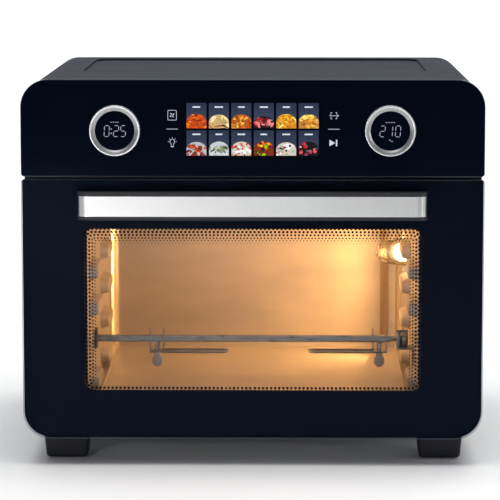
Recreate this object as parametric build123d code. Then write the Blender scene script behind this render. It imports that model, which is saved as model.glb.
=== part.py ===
from build123d import *
import os

# Countertop air fryer oven: a folded shell round an oven cavity, with a glass door hinged along
# its lower edge, a control fascia above it, a roof fan and a motor-driven rotisserie spit.
# Frame: X to the right, Y towards the rear, Z up, origin at the centre of the footprint.

# ---- overall ----
WIDTH = 410.0
HEIGHT = 346.0
DEPTH = 366.0
HANDLE_REACH = 24.0
SPACER_REACH = 12.0
FRONT = -(DEPTH + HANDLE_REACH + SPACER_REACH) / 2 + HANDLE_REACH
BACK = FRONT + DEPTH
CORNER_R = 24.5
SEAM_R = 3.0
GLASS = 4.0
EDGE_CHAMFER = 0.6
STEP_IN = 1.0
SHEET = 0.8

# ---- door ----
DOOR_LOW = 24.5
DOOR_HIGH = 257.5
DOOR_DEPTH = 22.0
DOOR_BACK = FRONT + DOOR_DEPTH
DOOR_SKIN = 2.0
DOOR_RIM = 3.0
WINDOW_X = 151.0
WINDOW_LOW = 68.0
WINDOW_HIGH = 214.0
WINDOW_R = 9.0
INNER_GLASS_LAP = 7.0
HINGE_Y = FRONT + 16.0
HINGE_Z = DOOR_LOW + 11.5
HINGE_X = 164.0
PIN_R = 3.0
PIN_LENGTH = 26.0
RUNNING_GAP = 0.05
ARM_WIDTH = 10.0
ARM_EYE_R = 5.5
NOTCH_WIDTH = 16.0

# ---- handle ----
HANDLE_LENGTH = 307.0
HANDLE_FACE = 17.8
HANDLE_HEIGHT = 24.6
HANDLE_Z = 236.0
HANDLE_COVER = 2.5
HANDLE_BAR = 10.0
HANDLE_END_R = 9.0
POST_X = 142.0
POST_WIDTH = 16.0
HANDLE_SCREW_R = 2.0
LATCH_LEFT = 172.0
LATCH_RIGHT = 188.0
LATCH_LOW = 240.0
LATCH_HIGH = 248.0

# ---- control fascia ----
FASCIA_LOW = DOOR_HIGH + 2.5
FASCIA_DEPTH = 24.0
DIAL_X = 121.3
DIAL_Z = 301.3
DIAL_R = 22.5
DIAL_PROUD = 8.0
DIAL_GAP = 0.4
LENS_R = 17.7
SLEEVE_R = 19.0
SLEEVE_BORE_R = 17.5
STEM_R = 11.0
SCREEN_X = 60.5
SCREEN_Z = 302.1
SCREEN_HALF_HEIGHT = 25.5
BOARD_Y = FRONT + 17.0
BOARD_THICK = 1.6
BOARD_X = 165.0
BOARD_LOW = 268.0
BOARD_HIGH = 336.0
CHIP_HALF_HEIGHT = 6.0
CHIP_THICK = 2.2
BOARD_POST_X = 76.0
BOARD_POST_HEIGHTS = (276.0, 330.0)

# ---- shell ----
SHELL_X = WIDTH / 2 - STEP_IN
SHELL_LOW = 26.0
SHELL_HIGH = HEIGHT - STEP_IN
SHELL_R = CORNER_R - STEP_IN
SHELL_FRONT = FRONT + FASCIA_DEPTH
COVER_THICK = 1.2
SHELL_BACK = BACK - COVER_THICK
RELIEF_Y = FRONT + 31.0
RELIEF_Z = 50.0
ROOF_RECESS_X = 160.0
ROOF_RECESS_FRONT = FRONT + 131.0
ROOF_RECESS_BACK = FRONT + 340.0
ROOF_RECESS_DEPTH = 1.8
ROOF_RECESS_R = 18.0
FLANGE = 12.0
GLAND_X = 150.0
GLAND_Z = 66.0
GLAND_R = 9.0
GLAND_BORE_R = 4.0

# ---- feet ----
FOOT_X = 169.0
FOOT_TOP = 41.7
FOOT_BOTTOM = 37.0
FOOT_DEPTH = 36.0
FOOT_FRONT_Y = FRONT + 30.0 + FOOT_DEPTH / 2
FOOT_REAR_Y = BACK - 32.0
FOOT_SPOTS = [(x, y) for x in (-FOOT_X, FOOT_X) for y in (FOOT_FRONT_Y, FOOT_REAR_Y)]
FOOT_SCREW_HOLE_R = 2.2
PAD_R = 9.0
PAD_PROUD = 1.0
PAD_THICK = 3.0

# ---- cover screws and vents ----
SCREW_SPOTS = [(x, z) for x in (-197.0, 197.0) for z in (90.0, 280.0)] + [(-130.0, 338.0), (130.0, 338.0)]
SCREW_HOLE_R = 2.0
SIDE_VENTS = 12
SIDE_VENT_FIRST_Y = 70.0
SIDE_VENT_PITCH = 8.0
SIDE_VENT_Z = 300.0
SIDE_VENT_LENGTH = 24.0
SIDE_VENT_WIDTH = 3.0
REAR_VENT_LENGTH = 34.0
REAR_VENT_WIDTH = 3.2
REAR_VENT_STEP_X = 42.0
REAR_VENT_STEP_Z = 9.0
UPPER_VENT_COLUMNS = 7
UPPER_VENT_ROWS = 9
UPPER_VENT_Z = 190.0
LOWER_VENT_COLUMNS = 5
LOWER_VENT_ROWS = 4
LOWER_VENT_Z = 56.0
SPACER_X = 150.0
SPACER_Z = 303.0
SPACER_SIZE_X = 40.0
SPACER_SIZE_Z = 38.0
SPACER_WALL = 3.0

# ---- cavity ----
CAVITY_X = 149.0
CAVITY_FLOOR = 54.0
CAVITY_CEILING = 242.0
CAVITY_FRONT = FRONT + 27.5
CAVITY_BACK = 160.0
MOUTH_LOW = 58.0
FRAME_FRONT = FRONT + 26.0
FRAME_LOW = 46.0
GASKET = 6.0
GASKET_X = 153.0
GASKET_LOW = 49.0
GASKET_HIGH = 252.0
SHELF_HEIGHTS = (66.0, 100.5, 134.0, 167.5)
PAD_CENTRES_Y = (-98.0, 46.0)
PAD_LENGTH = 60.0
PAD_HEIGHT = 17.0
PAD_END_R = 8.0
PAD_DRAFT = 18.0
PAD_CROWN_R = 2.5
SHELF_PROUD = 9.0
CORNER_BEAD = 8.0
TRAY_X = 140.0
TRAY_SHEET = 1.0
TRAY_LIP_X = 60.0
REAR_BEAD_X = 128.4
REAR_BEAD_WIDTH = 8.0
REAR_BEAD_PROUD = 3.0

# ---- rotisserie ----
SPIT_Y = FRONT + 118.0
SPIT_Z = 96.7
SPIT_SIDE = 6.0
SPIT_LEFT = -149.2
SPIT_SHOULDER = 128.0
SPIT_RIGHT = 143.2
JOURNAL_R = 2.25
COLLAR_R = 5.7
COLLAR_THICK = 7.0
SOCKET_SIDE = 17.6
CRADLE_X = 133.0
CRADLE_SHEET = 1.5
CRADLE_HALF = 8.0
CRADLE_DROP = 8.0
SOCKET_FACE = -146.2
SOCKET_BOSS_R = 6.0
SOCKET_BOSS_GAP = 0.8
SPINDLE_R = 4.0
LOOSE_GAP = 0.3
FORK_LEFT_X = -90.6
FORK_RIGHT_X = 116.8
FORK_HALF = 6.2
FORK_PLATE = 1.2
FORK_WIDTH = 16.0
FORK_UP = 10.0
FORK_DOWN = 12.5
TINE_R = 1.25
TINE_LENGTH = 60.0
TINE_Y = 6.0
THUMB_R = 2.0

# ---- lamp ----
LAMP_Y = 118.0
LAMP_Z = 155.2
LAMP_COVER_R = 14.0
LAMP_COVER_PROUD = 30.0
LAMP_OPENING_R = 10.0
LAMP_CUP_R = 20.0
LAMP_CUP_WALL = 3.0
LAMP_SOCKET_R = 8.0
BULB_CAP_R = 5.0

# ---- power board ----
POWER_LEFT = 108.0
POWER_RIGHT = 146.0
POWER_FRONT = -140.0
POWER_BACK = -44.0
POWER_LIFT = 12.0

# ---- roof fan ----
FAN_Y = 10.0
FAN_MOUTH_R = 85.0
FAN_HOUSING_R = 96.0
FAN_HOUSING_TOP = 270.0
IMPELLER_R = 72.0
SHAFT_R = 3.0
IMPELLER_LOW = 248.0
IMPELLER_HIGH = 263.0
IMPELLER_HUB_R = 11.0
COOLING_LOW = 275.0
COOLING_HIGH = 284.0
COOLING_R = 38.0
COOLING_HUB_R = 8.0
MOTOR_LOW = 290.0
MOTOR_HIGH = 322.0
MOTOR_X = 32.0
MOTOR_Y = 26.0
MOUNT_X = 46.0
MOUNT_Y = 30.0
MOUNT_HALF = 4.0
HEATER_R = 3.2
TOP_HEATER_Z = 234.0
LOWER_HEATER_Z = 43.0
PROBE_X = 96.0
PROBE_Z = 218.0
PROBE_R = 2.5
PROBE_REACH = 34.0
CUTOUT_X = -126.0
CUTOUT_Y = 60.0
GUARD_X = 108.0
GUARD_FRONT = -92.0
GUARD_BACK = 112.0
GUARD_DEPTH = 17.0
GUARD_SHEET = 1.0
GUARD_SLOTS_X = (-72.0, -24.0, 24.0, 72.0)
GUARD_ROWS = 17
GUARD_ROW_STEP = 11.0
HEATER_END = CAVITY_BACK + 12.0
TOP_HEATER_X = 84.0
TOP_HEATER_FRONT = -72.0
TOP_HEATER_REAR = 96.0
TOP_LEAD_X = 15.0
LOWER_HEATER_X = 100.0
LOWER_HEATER_FRONT = -80.0
SHIELD_X = 130.0
SHIELD_FRONT = -112.0
SHIELD_BACK = 148.0
SHIELD_SHEET = 1.0


def block(x0, x1, y0, y1, z0, z1):
    return Pos((x0 + x1) / 2, (y0 + y1) / 2, (z0 + z1) / 2) * Box(x1 - x0, y1 - y0, z1 - z0)


def rod_x(x0, x1, y, z, r):
    return Pos((x0 + x1) / 2, y, z) * Rot(0, 90, 0) * Cylinder(r, x1 - x0)


def rod_y(x, y0, y1, z, r):
    return Pos(x, (y0 + y1) / 2, z) * Rot(90, 0, 0) * Cylinder(r, y1 - y0)


def rod_z(x, y, z0, z1, r):
    return Pos(x, y, (z0 + z1) / 2) * Cylinder(r, z1 - z0)


def upright_outline(half, low, high, r_low, r_high):
    """A closed XZ outline with one radius on its lower corners and one on its upper corners."""
    middle = (low + high) / 2
    outline = Polygon((-half, low), (half, low), (half, high), (-half, high), align=None)
    outline = fillet([v for v in outline.vertices() if v.Y < middle], r_low)
    return fillet([v for v in outline.vertices() if v.Y > middle + (high - low) / 4], r_high)


def upright(outline, y0, y1):
    return extrude(Plane.XZ.offset(-y1) * outline, amount=y1 - y0)


def raised(outline, z0, z1):
    """An outline in XY extruded between two heights."""
    return extrude(Pos(0, 0, z0) * outline, amount=z1 - z0, dir=(0, 0, 1))


def flat_block(x0, x1, y0, y1, z0, z1, r):
    """A plate lying in XY with rounded vertical corners."""
    outline = Pos((x0 + x1) / 2, (y0 + y1) / 2) * RectangleRounded(x1 - x0, y1 - y0, r)
    return raised(outline, z0, z1)


def turned(points):
    """A solid turned about Z from (radius, height) points."""
    return revolve(Plane.XZ * Polygon(*points, align=None), Axis.Z, 360)


def group(solids):
    return Compound(children=list(solids))


def mirrored_x(solid):
    return mirror(solid, Plane.YZ)


def front_chamfered(panel):
    front = panel.faces().sort_by(Axis.Y)[0]
    return chamfer(front.outer_wire().edges(), EDGE_CHAMFER)


def shell_outline(inset):
    return upright_outline(
        SHELL_X - inset, SHELL_LOW + inset, SHELL_HIGH - inset, SHELL_R - inset, SHELL_R - inset
    )


# ======================= casing =======================


def housing_shell():
    body = upright(shell_outline(0), SHELL_FRONT, SHELL_BACK) - upright(
        shell_outline(SHEET), SHELL_FRONT - 1, SHELL_BACK - SHEET
    )
    body -= upright(shell_outline(FLANGE), SHELL_BACK - 2 * SHEET, SHELL_BACK + 1)
    lip = FOOT_X - 1
    body -= block(-lip, lip, SHELL_FRONT - 1, SHELL_BACK - SHEET, SHELL_LOW - 1, SHELL_LOW + 2 * SHEET)
    body -= block(-WIDTH, WIDTH, SHELL_FRONT - 1, RELIEF_Y, 0, RELIEF_Z)
    pad_low = SHELL_HIGH - ROOF_RECESS_DEPTH - SHEET
    body += flat_block(
        -ROOF_RECESS_X - SHEET, ROOF_RECESS_X + SHEET, ROOF_RECESS_FRONT - SHEET, ROOF_RECESS_BACK + SHEET,
        pad_low, SHELL_HIGH - SHEET, ROOF_RECESS_R + SHEET
    )
    body -= flat_block(
        -ROOF_RECESS_X, ROOF_RECESS_X, ROOF_RECESS_FRONT, ROOF_RECESS_BACK,
        SHELL_HIGH - ROOF_RECESS_DEPTH, SHELL_HIGH + 1, ROOF_RECESS_R
    )
    slot = RectangleRounded(SIDE_VENT_WIDTH, SIDE_VENT_LENGTH, SIDE_VENT_WIDTH / 2 - 0.1)
    for side in (-1, 1):
        for step in range(SIDE_VENTS):
            place = Pos(SIDE_VENT_FIRST_Y + SIDE_VENT_PITCH * step, SIDE_VENT_Z)
            body -= extrude(Plane.YZ.offset(side * SHELL_X) * place * slot, amount=5, both=True)
    for x, z in SCREW_SPOTS:
        body -= rod_y(x, SHELL_BACK - 5, SHELL_BACK + 1, z, SCREW_HOLE_R)
    for x, y in FOOT_SPOTS:
        body -= rod_z(x, y, 0, 60, FOOT_SCREW_HOLE_R)
    return body


def rear_vents(columns, rows, low):
    """Cutters for a centred field of slots in the rear cover whose lowest row is at height low."""
    slot = RectangleRounded(REAR_VENT_LENGTH, REAR_VENT_WIDTH, REAR_VENT_WIDTH / 2 - 0.1)
    behind = Plane.XZ.offset(-BACK - 1)
    cutters = []
    for column in range(columns):
        x = REAR_VENT_STEP_X * (column - (columns - 1) / 2)
        for row in range(rows):
            place = Pos(x, low + REAR_VENT_STEP_Z * row)
            cutters.append(extrude(behind * place * slot, amount=COVER_THICK + 2))
    return cutters


def rear_cover():
    cover = upright(shell_outline(0), SHELL_BACK, BACK)
    cover -= rear_vents(UPPER_VENT_COLUMNS, UPPER_VENT_ROWS, UPPER_VENT_Z)
    cover -= rear_vents(LOWER_VENT_COLUMNS, LOWER_VENT_ROWS, LOWER_VENT_Z)
    for x, z in SCREW_SPOTS:
        cover -= rod_y(x, SHELL_BACK - 1, BACK + 1, z, SCREW_HOLE_R)
    cover -= rod_y(GLAND_X, SHELL_BACK - 1, BACK + 1, GLAND_Z, GLAND_R)
    return cover


def cord_gland():
    body = rod_y(GLAND_X, BACK - 12, BACK + 0.5, GLAND_Z, GLAND_R - 0.2)
    body += rod_y(GLAND_X, BACK, BACK + 5, GLAND_Z, GLAND_R + 3)
    return body - rod_y(GLAND_X, BACK - 13, BACK + 6, GLAND_Z, GLAND_BORE_R)


def rear_spacers():
    half_x = SPACER_SIZE_X / 2
    half_z = SPACER_SIZE_Z / 2
    spacers = []
    for x in (-SPACER_X, SPACER_X):
        outer = block(x - half_x, x + half_x, BACK, BACK + SPACER_REACH, SPACER_Z - half_z, SPACER_Z + half_z)
        outer = fillet(outer.edges().filter_by(Axis.Y), 5)
        spacers.append(outer - block(
            x - half_x + SPACER_WALL, x + half_x - SPACER_WALL, BACK - 1, BACK + SPACER_REACH - SPACER_WALL,
            SPACER_Z - half_z + SPACER_WALL, SPACER_Z + half_z - SPACER_WALL
        ))
    return group(spacers)


def base_plate():
    reach = FOOT_X + 7
    low = SHELL_LOW + SHEET
    plate = block(-reach, reach, CAVITY_FRONT + 4.5, SHELL_BACK - SHEET, low, low + SHEET)
    for x, y in FOOT_SPOTS:
        plate -= rod_z(x, y, 0, 60, FOOT_SCREW_HOLE_R)
    return plate


def foot(x, y):
    low = Rectangle(FOOT_BOTTOM, FOOT_DEPTH - 4)
    high = Rectangle(FOOT_TOP, FOOT_DEPTH)
    body = loft([Pos(0, 0, PAD_PROUD) * low, Pos(0, 0, SHELL_LOW) * high])
    body = fillet([e for e in body.edges() if abs(e.center().X) > 15 and abs(e.center().Y) > 12], 3.5)
    bottom = body.faces().sort_by(Axis.Z)[0]
    body = fillet(bottom.edges(), 3.0)
    body -= Cylinder(PAD_R, 2 * PAD_THICK)
    body -= rod_z(0, 0, 0, 40, FOOT_SCREW_HOLE_R)
    body -= rod_z(0, 0, PAD_THICK - 0.5, 12, 5)
    return Pos(x, y, 0) * body


def feet():
    return group(foot(x, y) for x, y in FOOT_SPOTS)


def foot_pads():
    return group([rod_z(x, y, 0, PAD_THICK, PAD_R) for x, y in FOOT_SPOTS])


def casing_screws():
    foot_screws = [rod_z(x, y, 11.9, 30, 2.0) + rod_z(x, y, 9, 12, 4.0) for x, y in FOOT_SPOTS]
    cover_screws = [
        rod_y(x, BACK - 8, BACK + 0.1, z, 1.8) + rod_y(x, BACK, BACK + 1.8, z, 3.4) for x, z in SCREW_SPOTS
    ]
    return group(foot_screws + cover_screws)


# ======================= front frame and control fascia =======================


def front_frame():
    upper = block(-SHELL_X, SHELL_X, FRAME_FRONT, CAVITY_FRONT, FRAME_LOW, DOOR_HIGH + 1)
    upper -= upright(
        upright_outline(CAVITY_X, MOUTH_LOW, CAVITY_CEILING, 6, 6), FRAME_FRONT - 1, CAVITY_FRONT + 1
    )
    shelf = block(-SHELL_X, SHELL_X, FRAME_FRONT, CAVITY_FRONT + 4.5, FRAME_LOW, FRAME_LOW + 1.5)
    kick = block(-SHELL_X, SHELL_X, CAVITY_FRONT + 3, CAVITY_FRONT + 4.5, SHELL_LOW, FRAME_LOW + 1.5)
    frame = (upper + shelf + kick) & upright(shell_outline(SHEET), FRONT, BACK)
    return frame - block(-FOOT_X - 9, FOOT_X + 9, CAVITY_FRONT, 0, SHELL_LOW, SHELL_LOW + 2 * SHEET)


def door_gasket():
    outer = upright_outline(GASKET_X + GASKET, GASKET_LOW, GASKET_HIGH, 10, 10)
    inner = upright_outline(GASKET_X, GASKET_LOW + GASKET, GASKET_HIGH - GASKET, 5, 5)
    return upright(outer, DOOR_BACK + 0.5, FRAME_FRONT) - upright(inner, FRONT, 0)


def control_fascia():
    outline = upright_outline(WIDTH / 2, FASCIA_LOW, HEIGHT, SEAM_R, CORNER_R)
    panel = front_chamfered(upright(outline, FRONT, FRONT + GLASS))
    panel -= block(
        -SCREEN_X - LOOSE_GAP, SCREEN_X + LOOSE_GAP, FRONT - 1, FRONT + GLASS + 1,
        SCREEN_Z - SCREEN_HALF_HEIGHT - LOOSE_GAP, SCREEN_Z + SCREEN_HALF_HEIGHT + LOOSE_GAP
    )
    for x in (-DIAL_X, DIAL_X):
        panel -= rod_y(x, FRONT - 1, FRONT + GLASS + 1, DIAL_Z, SLEEVE_R + DIAL_GAP)
    return panel


def fascia_carrier():
    web_back = FRONT + GLASS + DOOR_SKIN
    outline = upright_outline(SHELL_X, FASCIA_LOW + STEP_IN, SHELL_HIGH, SEAM_R, SHELL_R)
    hollow = upright_outline(
        SHELL_X - DOOR_RIM, FASCIA_LOW + STEP_IN + DOOR_RIM, SHELL_HIGH - DOOR_RIM, SEAM_R, SHELL_R - DOOR_RIM
    )
    carrier = upright(outline, FRONT + GLASS, SHELL_FRONT) - upright(hollow, web_back, SHELL_FRONT + 1)
    carrier -= block(
        -SCREEN_X - LOOSE_GAP, SCREEN_X + LOOSE_GAP, FRONT, web_back + 1,
        SCREEN_Z - SCREEN_HALF_HEIGHT - LOOSE_GAP, SCREEN_Z + SCREEN_HALF_HEIGHT + LOOSE_GAP
    )
    for x in (-DIAL_X, DIAL_X):
        carrier -= rod_y(x, FRONT, web_back + 1, DIAL_Z, SLEEVE_R + DIAL_GAP)
    for x in (-BOARD_POST_X, BOARD_POST_X):
        for z in BOARD_POST_HEIGHTS:
            carrier += rod_y(x, web_back - 0.5, BOARD_Y, z, 4.0)
    return carrier


def display_module():
    return block(
        -SCREEN_X, SCREEN_X, FRONT + 0.2, BOARD_Y,
        SCREEN_Z - SCREEN_HALF_HEIGHT, SCREEN_Z + SCREEN_HALF_HEIGHT
    )


def control_board():
    back = BOARD_Y + BOARD_THICK
    board = block(-BOARD_X, BOARD_X, BOARD_Y, back, BOARD_LOW, BOARD_HIGH)
    tall = CHIP_HALF_HEIGHT
    for x, z, half in [(-90, 300, 10), (95, 318, 8), (-20, 282, 9), (40, 322, 7)]:
        board += block(x - half, x + half, back - 0.1, back + CHIP_THICK, z - tall, z + tall)
    return board


def dial_ring(x):
    rim = [
        (SLEEVE_BORE_R + 0.7, -DIAL_GAP + 3.5), (SLEEVE_BORE_R, -DIAL_GAP + 3.0), (SLEEVE_BORE_R, -12.0),
        (SLEEVE_R, -12.0), (SLEEVE_R, DIAL_GAP), (DIAL_R - 0.6, DIAL_GAP), (DIAL_R, 1.0),
        (DIAL_R, DIAL_PROUD - 0.7), (DIAL_R - 0.7, DIAL_PROUD), (DIAL_R - 2.3, DIAL_PROUD),
        (SLEEVE_BORE_R + 0.7, DIAL_PROUD - 2.6),
    ]
    return Pos(x, FRONT, DIAL_Z) * Rot(90, 0, 0) * turned(rim)


def time_dial_ring():
    return dial_ring(-DIAL_X)


def temperature_dial_ring():
    return dial_ring(DIAL_X)


def dial_lens(x):
    face = FRONT - DIAL_PROUD + 2.4
    lens = rod_y(x, face, face + 2, DIAL_Z, LENS_R)
    lens = chamfer(lens.faces().sort_by(Axis.Y)[0].edges(), 0.4)
    return lens + rod_y(x, face + 1.9, BOARD_Y, DIAL_Z, STEM_R)


def dial_lenses():
    return group(dial_lens(x) for x in (-DIAL_X, DIAL_X))


def rotary_encoders():
    rings = []
    for x in (-DIAL_X, DIAL_X):
        start = FRONT + GLASS + DOOR_SKIN
        ring = rod_y(x, start, start + 8, DIAL_Z, SLEEVE_R + 5)
        rings.append(ring - rod_y(x, start - 1, start + 9, DIAL_Z, SLEEVE_R + RUNNING_GAP))
    return group(rings)


# ======================= door =======================


def notch(side):
    """Open lower rear corner of the door in which the fixed hinge arm turns."""
    x = side * HINGE_X
    half = NOTCH_WIDTH / 2
    return block(x - half, x + half, HINGE_Y - ARM_EYE_R - 1.5, DOOR_BACK + 1, 0, HINGE_Z + ARM_EYE_R + 2)


def hinge_bore(side, r):
    half = PIN_LENGTH / 2
    return rod_x(side * HINGE_X - half, side * HINGE_X + half, HINGE_Y, HINGE_Z, r)


def door_outer_glass():
    outline = upright_outline(WIDTH / 2, DOOR_LOW, DOOR_HIGH, CORNER_R, SEAM_R)
    pane = front_chamfered(upright(outline, FRONT, FRONT + GLASS))
    for x in (-POST_X, POST_X):
        pane -= rod_y(x, FRONT - 1, FRONT + GLASS + 1, HANDLE_Z, HANDLE_SCREW_R + 0.5)
    return pane


def door_frame():
    start = FRONT + GLASS
    end = DOOR_BACK - DOOR_SKIN
    outline = upright_outline(SHELL_X, DOOR_LOW + STEP_IN, DOOR_HIGH - STEP_IN, SHELL_R, SEAM_R)
    hollow = upright_outline(
        SHELL_X - DOOR_RIM, DOOR_LOW + STEP_IN + DOOR_RIM, DOOR_HIGH - STEP_IN - DOOR_RIM,
        SHELL_R - DOOR_RIM, SEAM_R
    )
    lap = INNER_GLASS_LAP + 3
    rim = lap + DOOR_RIM
    wall = upright_outline(WINDOW_X + rim, WINDOW_LOW - rim, WINDOW_HIGH + rim, WINDOW_R, WINDOW_R)
    mouth = upright_outline(WINDOW_X + lap, WINDOW_LOW - lap, WINDOW_HIGH + lap, WINDOW_R, WINDOW_R)
    frame = upright(outline, start, end)
    frame -= upright(hollow, start + DOOR_SKIN, end + 1) - upright(wall, start, end + 2)
    frame -= upright(mouth, start - 1, end + 1)
    envelope = upright(outline, start, end)
    half = PIN_LENGTH / 2 + 2
    for side in (-1, 1):
        x = side * HINGE_X
        lug = block(x - half, x + half, start + DOOR_SKIN - 0.5, end, DOOR_LOW, HINGE_Z + ARM_EYE_R + 4)
        frame += lug & envelope
        frame -= notch(side)
        frame -= hinge_bore(side, PIN_R + RUNNING_GAP)
    for x in (-POST_X, POST_X):
        frame -= rod_y(x, start - 1, start + DOOR_SKIN + 1, HANDLE_Z, HANDLE_SCREW_R + 0.5)
    return frame


def door_inner_panel():
    outline = upright_outline(SHELL_X, DOOR_LOW + STEP_IN, DOOR_HIGH - STEP_IN, SHELL_R, SEAM_R)
    mouth = upright_outline(WINDOW_X, WINDOW_LOW - 3, WINDOW_HIGH + 3, WINDOW_R, WINDOW_R)
    panel = upright(outline, DOOR_BACK - DOOR_SKIN, DOOR_BACK) - upright(mouth, FRONT, 0)
    for side in (-1, 1):
        panel -= notch(side)
    return panel


def door_inner_glass():
    lap = INNER_GLASS_LAP
    outline = upright_outline(WINDOW_X + lap, WINDOW_LOW - lap, WINDOW_HIGH + lap, WINDOW_R, WINDOW_R)
    return upright(outline, DOOR_BACK - DOOR_SKIN - GLASS, DOOR_BACK - DOOR_SKIN)


def handle_plan(half_length, front_y, back_y, end_r):
    """Plan outline of a bar whose front corners are rounded towards the door."""
    rear = [(-half_length, back_y), (half_length, back_y)]
    front = [(half_length, front_y), (-half_length, front_y)]
    plan = Polygon(*rear, *front, align=None)
    return fillet([v for v in plan.vertices() if v.Y < (front_y + back_y) / 2], end_r)


def handle_cover():
    front = FRONT - HANDLE_REACH
    back = front + HANDLE_COVER + HANDLE_BAR
    half = HANDLE_LENGTH / 2
    outer = handle_plan(half, front, back, HANDLE_END_R)
    inner = handle_plan(half - HANDLE_COVER, front + HANDLE_COVER, back + 2, HANDLE_END_R - HANDLE_COVER)
    return raised(outer, HANDLE_Z - HANDLE_FACE / 2, HANDLE_Z + HANDLE_FACE / 2) - raised(inner, 0, HEIGHT)


def handle_backing():
    front = FRONT - HANDLE_REACH
    half = HANDLE_LENGTH / 2
    bar_back = front + HANDLE_COVER + HANDLE_BAR
    core = handle_plan(half - HANDLE_COVER, front + HANDLE_COVER, bar_back, HANDLE_END_R - HANDLE_COVER)
    low = HANDLE_Z - HANDLE_FACE / 2
    high = HANDLE_Z + HANDLE_FACE / 2
    backing = raised(core, low, high)
    rail = handle_plan(half + 0.5, front + 1.2, bar_back, HANDLE_END_R)
    lip = (HANDLE_HEIGHT - HANDLE_FACE) / 2
    backing += raised(rail, high, high + lip)
    backing += raised(rail, low - lip, low)
    for x in (-POST_X, POST_X):
        backing += block(x - POST_WIDTH / 2, x + POST_WIDTH / 2, bar_back - 1, FRONT, low, high)
        backing -= rod_y(x, FRONT - 13, FRONT + 1, HANDLE_Z, HANDLE_SCREW_R + 0.1)
    return backing


def handle_screws():
    start = FRONT + GLASS + DOOR_SKIN
    screws = []
    for x in (-POST_X, POST_X):
        shank = rod_y(x, FRONT - 12, start + 0.5, HANDLE_Z, HANDLE_SCREW_R)
        screws.append(shank + rod_y(x, start, start + 2.5, HANDLE_Z, 4.5))
    return group(screws)


def door_magnet():
    return block(LATCH_LEFT, LATCH_RIGHT, DOOR_BACK - 12, DOOR_BACK - DOOR_SKIN, LATCH_LOW, LATCH_HIGH)


def door_sensor():
    return block(LATCH_LEFT, LATCH_RIGHT, CAVITY_FRONT, CAVITY_FRONT + 9, LATCH_LOW, LATCH_HIGH)


def hinge_bracket(side):
    x = side * HINGE_X
    half = ARM_WIDTH / 2
    plate_front = CAVITY_FRONT + 1.5
    eye = rod_x(x - half, x + half, HINGE_Y, HINGE_Z, ARM_EYE_R)
    arm = block(x - half, x + half, HINGE_Y, plate_front + 0.5, HINGE_Z - 4, HINGE_Z + 4)
    plate = block(x - 7, x + 7, plate_front, CAVITY_FRONT + 3, SHELL_LOW + 4, FRAME_LOW - 1)
    return eye + arm + plate - hinge_bore(side, PIN_R)


def hinge_brackets():
    return group(hinge_bracket(side) for side in (-1, 1))


def hinge_pins():
    shorter = 0.4
    half = PIN_LENGTH / 2 - shorter
    return group(rod_x(s * HINGE_X - half, s * HINGE_X + half, HINGE_Y, HINGE_Z, PIN_R) for s in (-1, 1))


# ======================= cavity =======================


def side_wall():
    """Left wall of the cavity: a sheet with pressed pads that carry a shelf at each level.

    The front pad is left out at the spit's level, where the spit's ends are carried.
    """
    x = -CAVITY_X
    low = CAVITY_FLOOR - SHEET
    wall = block(x - SHEET, x, CAVITY_FRONT, CAVITY_BACK + SHEET, low, CAVITY_CEILING + SHEET)
    for y in PAD_CENTRES_Y:
        for z in SHELF_HEIGHTS:
            if y < 0 and abs(z - SPIT_Z) < PAD_HEIGHT:
                continue
            outline = Pos(y, z) * RectangleRounded(PAD_LENGTH, PAD_HEIGHT, PAD_END_R)
            pad = extrude(Plane.YZ.offset(x - SHEET / 2) * outline, amount=SHELF_PROUD, taper=PAD_DRAFT)
            wall += fillet(pad.faces().sort_by(Axis.X)[-1].edges(), PAD_CROWN_R)
    return wall


def cavity_left_wall():
    return side_wall() - rod_x(-CAVITY_X - 3, -CAVITY_X + 1, SPIT_Y, SPIT_Z, SOCKET_BOSS_R + SOCKET_BOSS_GAP)


def cavity_right_wall():
    return mirrored_x(side_wall()) - rod_x(CAVITY_X - 1, CAVITY_X + 3, LAMP_Y, LAMP_Z, LAMP_OPENING_R)


def cavity_rear_wall():
    """Rear wall with a folded bead in each corner and a pressed upright bead beside the lamp."""
    wall = block(-CAVITY_X, CAVITY_X, CAVITY_BACK, CAVITY_BACK + SHEET, CAVITY_FLOOR, CAVITY_CEILING)
    bury = SHEET / 2
    for side in (-1, 1):
        edge = side * CAVITY_X
        inner = edge - side * CORNER_BEAD
        corners = [(edge, CAVITY_BACK + bury), (edge, CAVITY_BACK - CORNER_BEAD), (inner, CAVITY_BACK + bury)]
        wall += raised(Polygon(*corners, align=None), CAVITY_FLOOR, CAVITY_CEILING)
    half = REAR_BEAD_WIDTH / 2
    bead = block(
        REAR_BEAD_X - half, REAR_BEAD_X + half, CAVITY_BACK - REAR_BEAD_PROUD, CAVITY_BACK + bury,
        CAVITY_FLOOR + CORNER_BEAD, CAVITY_CEILING - CORNER_BEAD
    )
    wall += fillet(bead.faces().sort_by(Axis.Y)[0].edges(), REAR_BEAD_PROUD / 2)
    for x in (-15.0, 15.0):
        wall -= rod_y(x, CAVITY_BACK - 1, CAVITY_BACK + 3, TOP_HEATER_Z, HEATER_R + 0.8)
    return wall - rod_y(PROBE_X, CAVITY_BACK - 1, CAVITY_BACK + 3, PROBE_Z, PROBE_R + 0.3)


def cavity_floor():
    return block(-CAVITY_X, CAVITY_X, CAVITY_FRONT, CAVITY_BACK, CAVITY_FLOOR - SHEET, CAVITY_FLOOR)


def cavity_ceiling():
    plate = block(-CAVITY_X, CAVITY_X, CAVITY_FRONT, CAVITY_BACK, CAVITY_CEILING, CAVITY_CEILING + SHEET)
    return plate - rod_z(0, FAN_Y, CAVITY_CEILING - 1, CAVITY_CEILING + 3, FAN_MOUTH_R)


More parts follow.
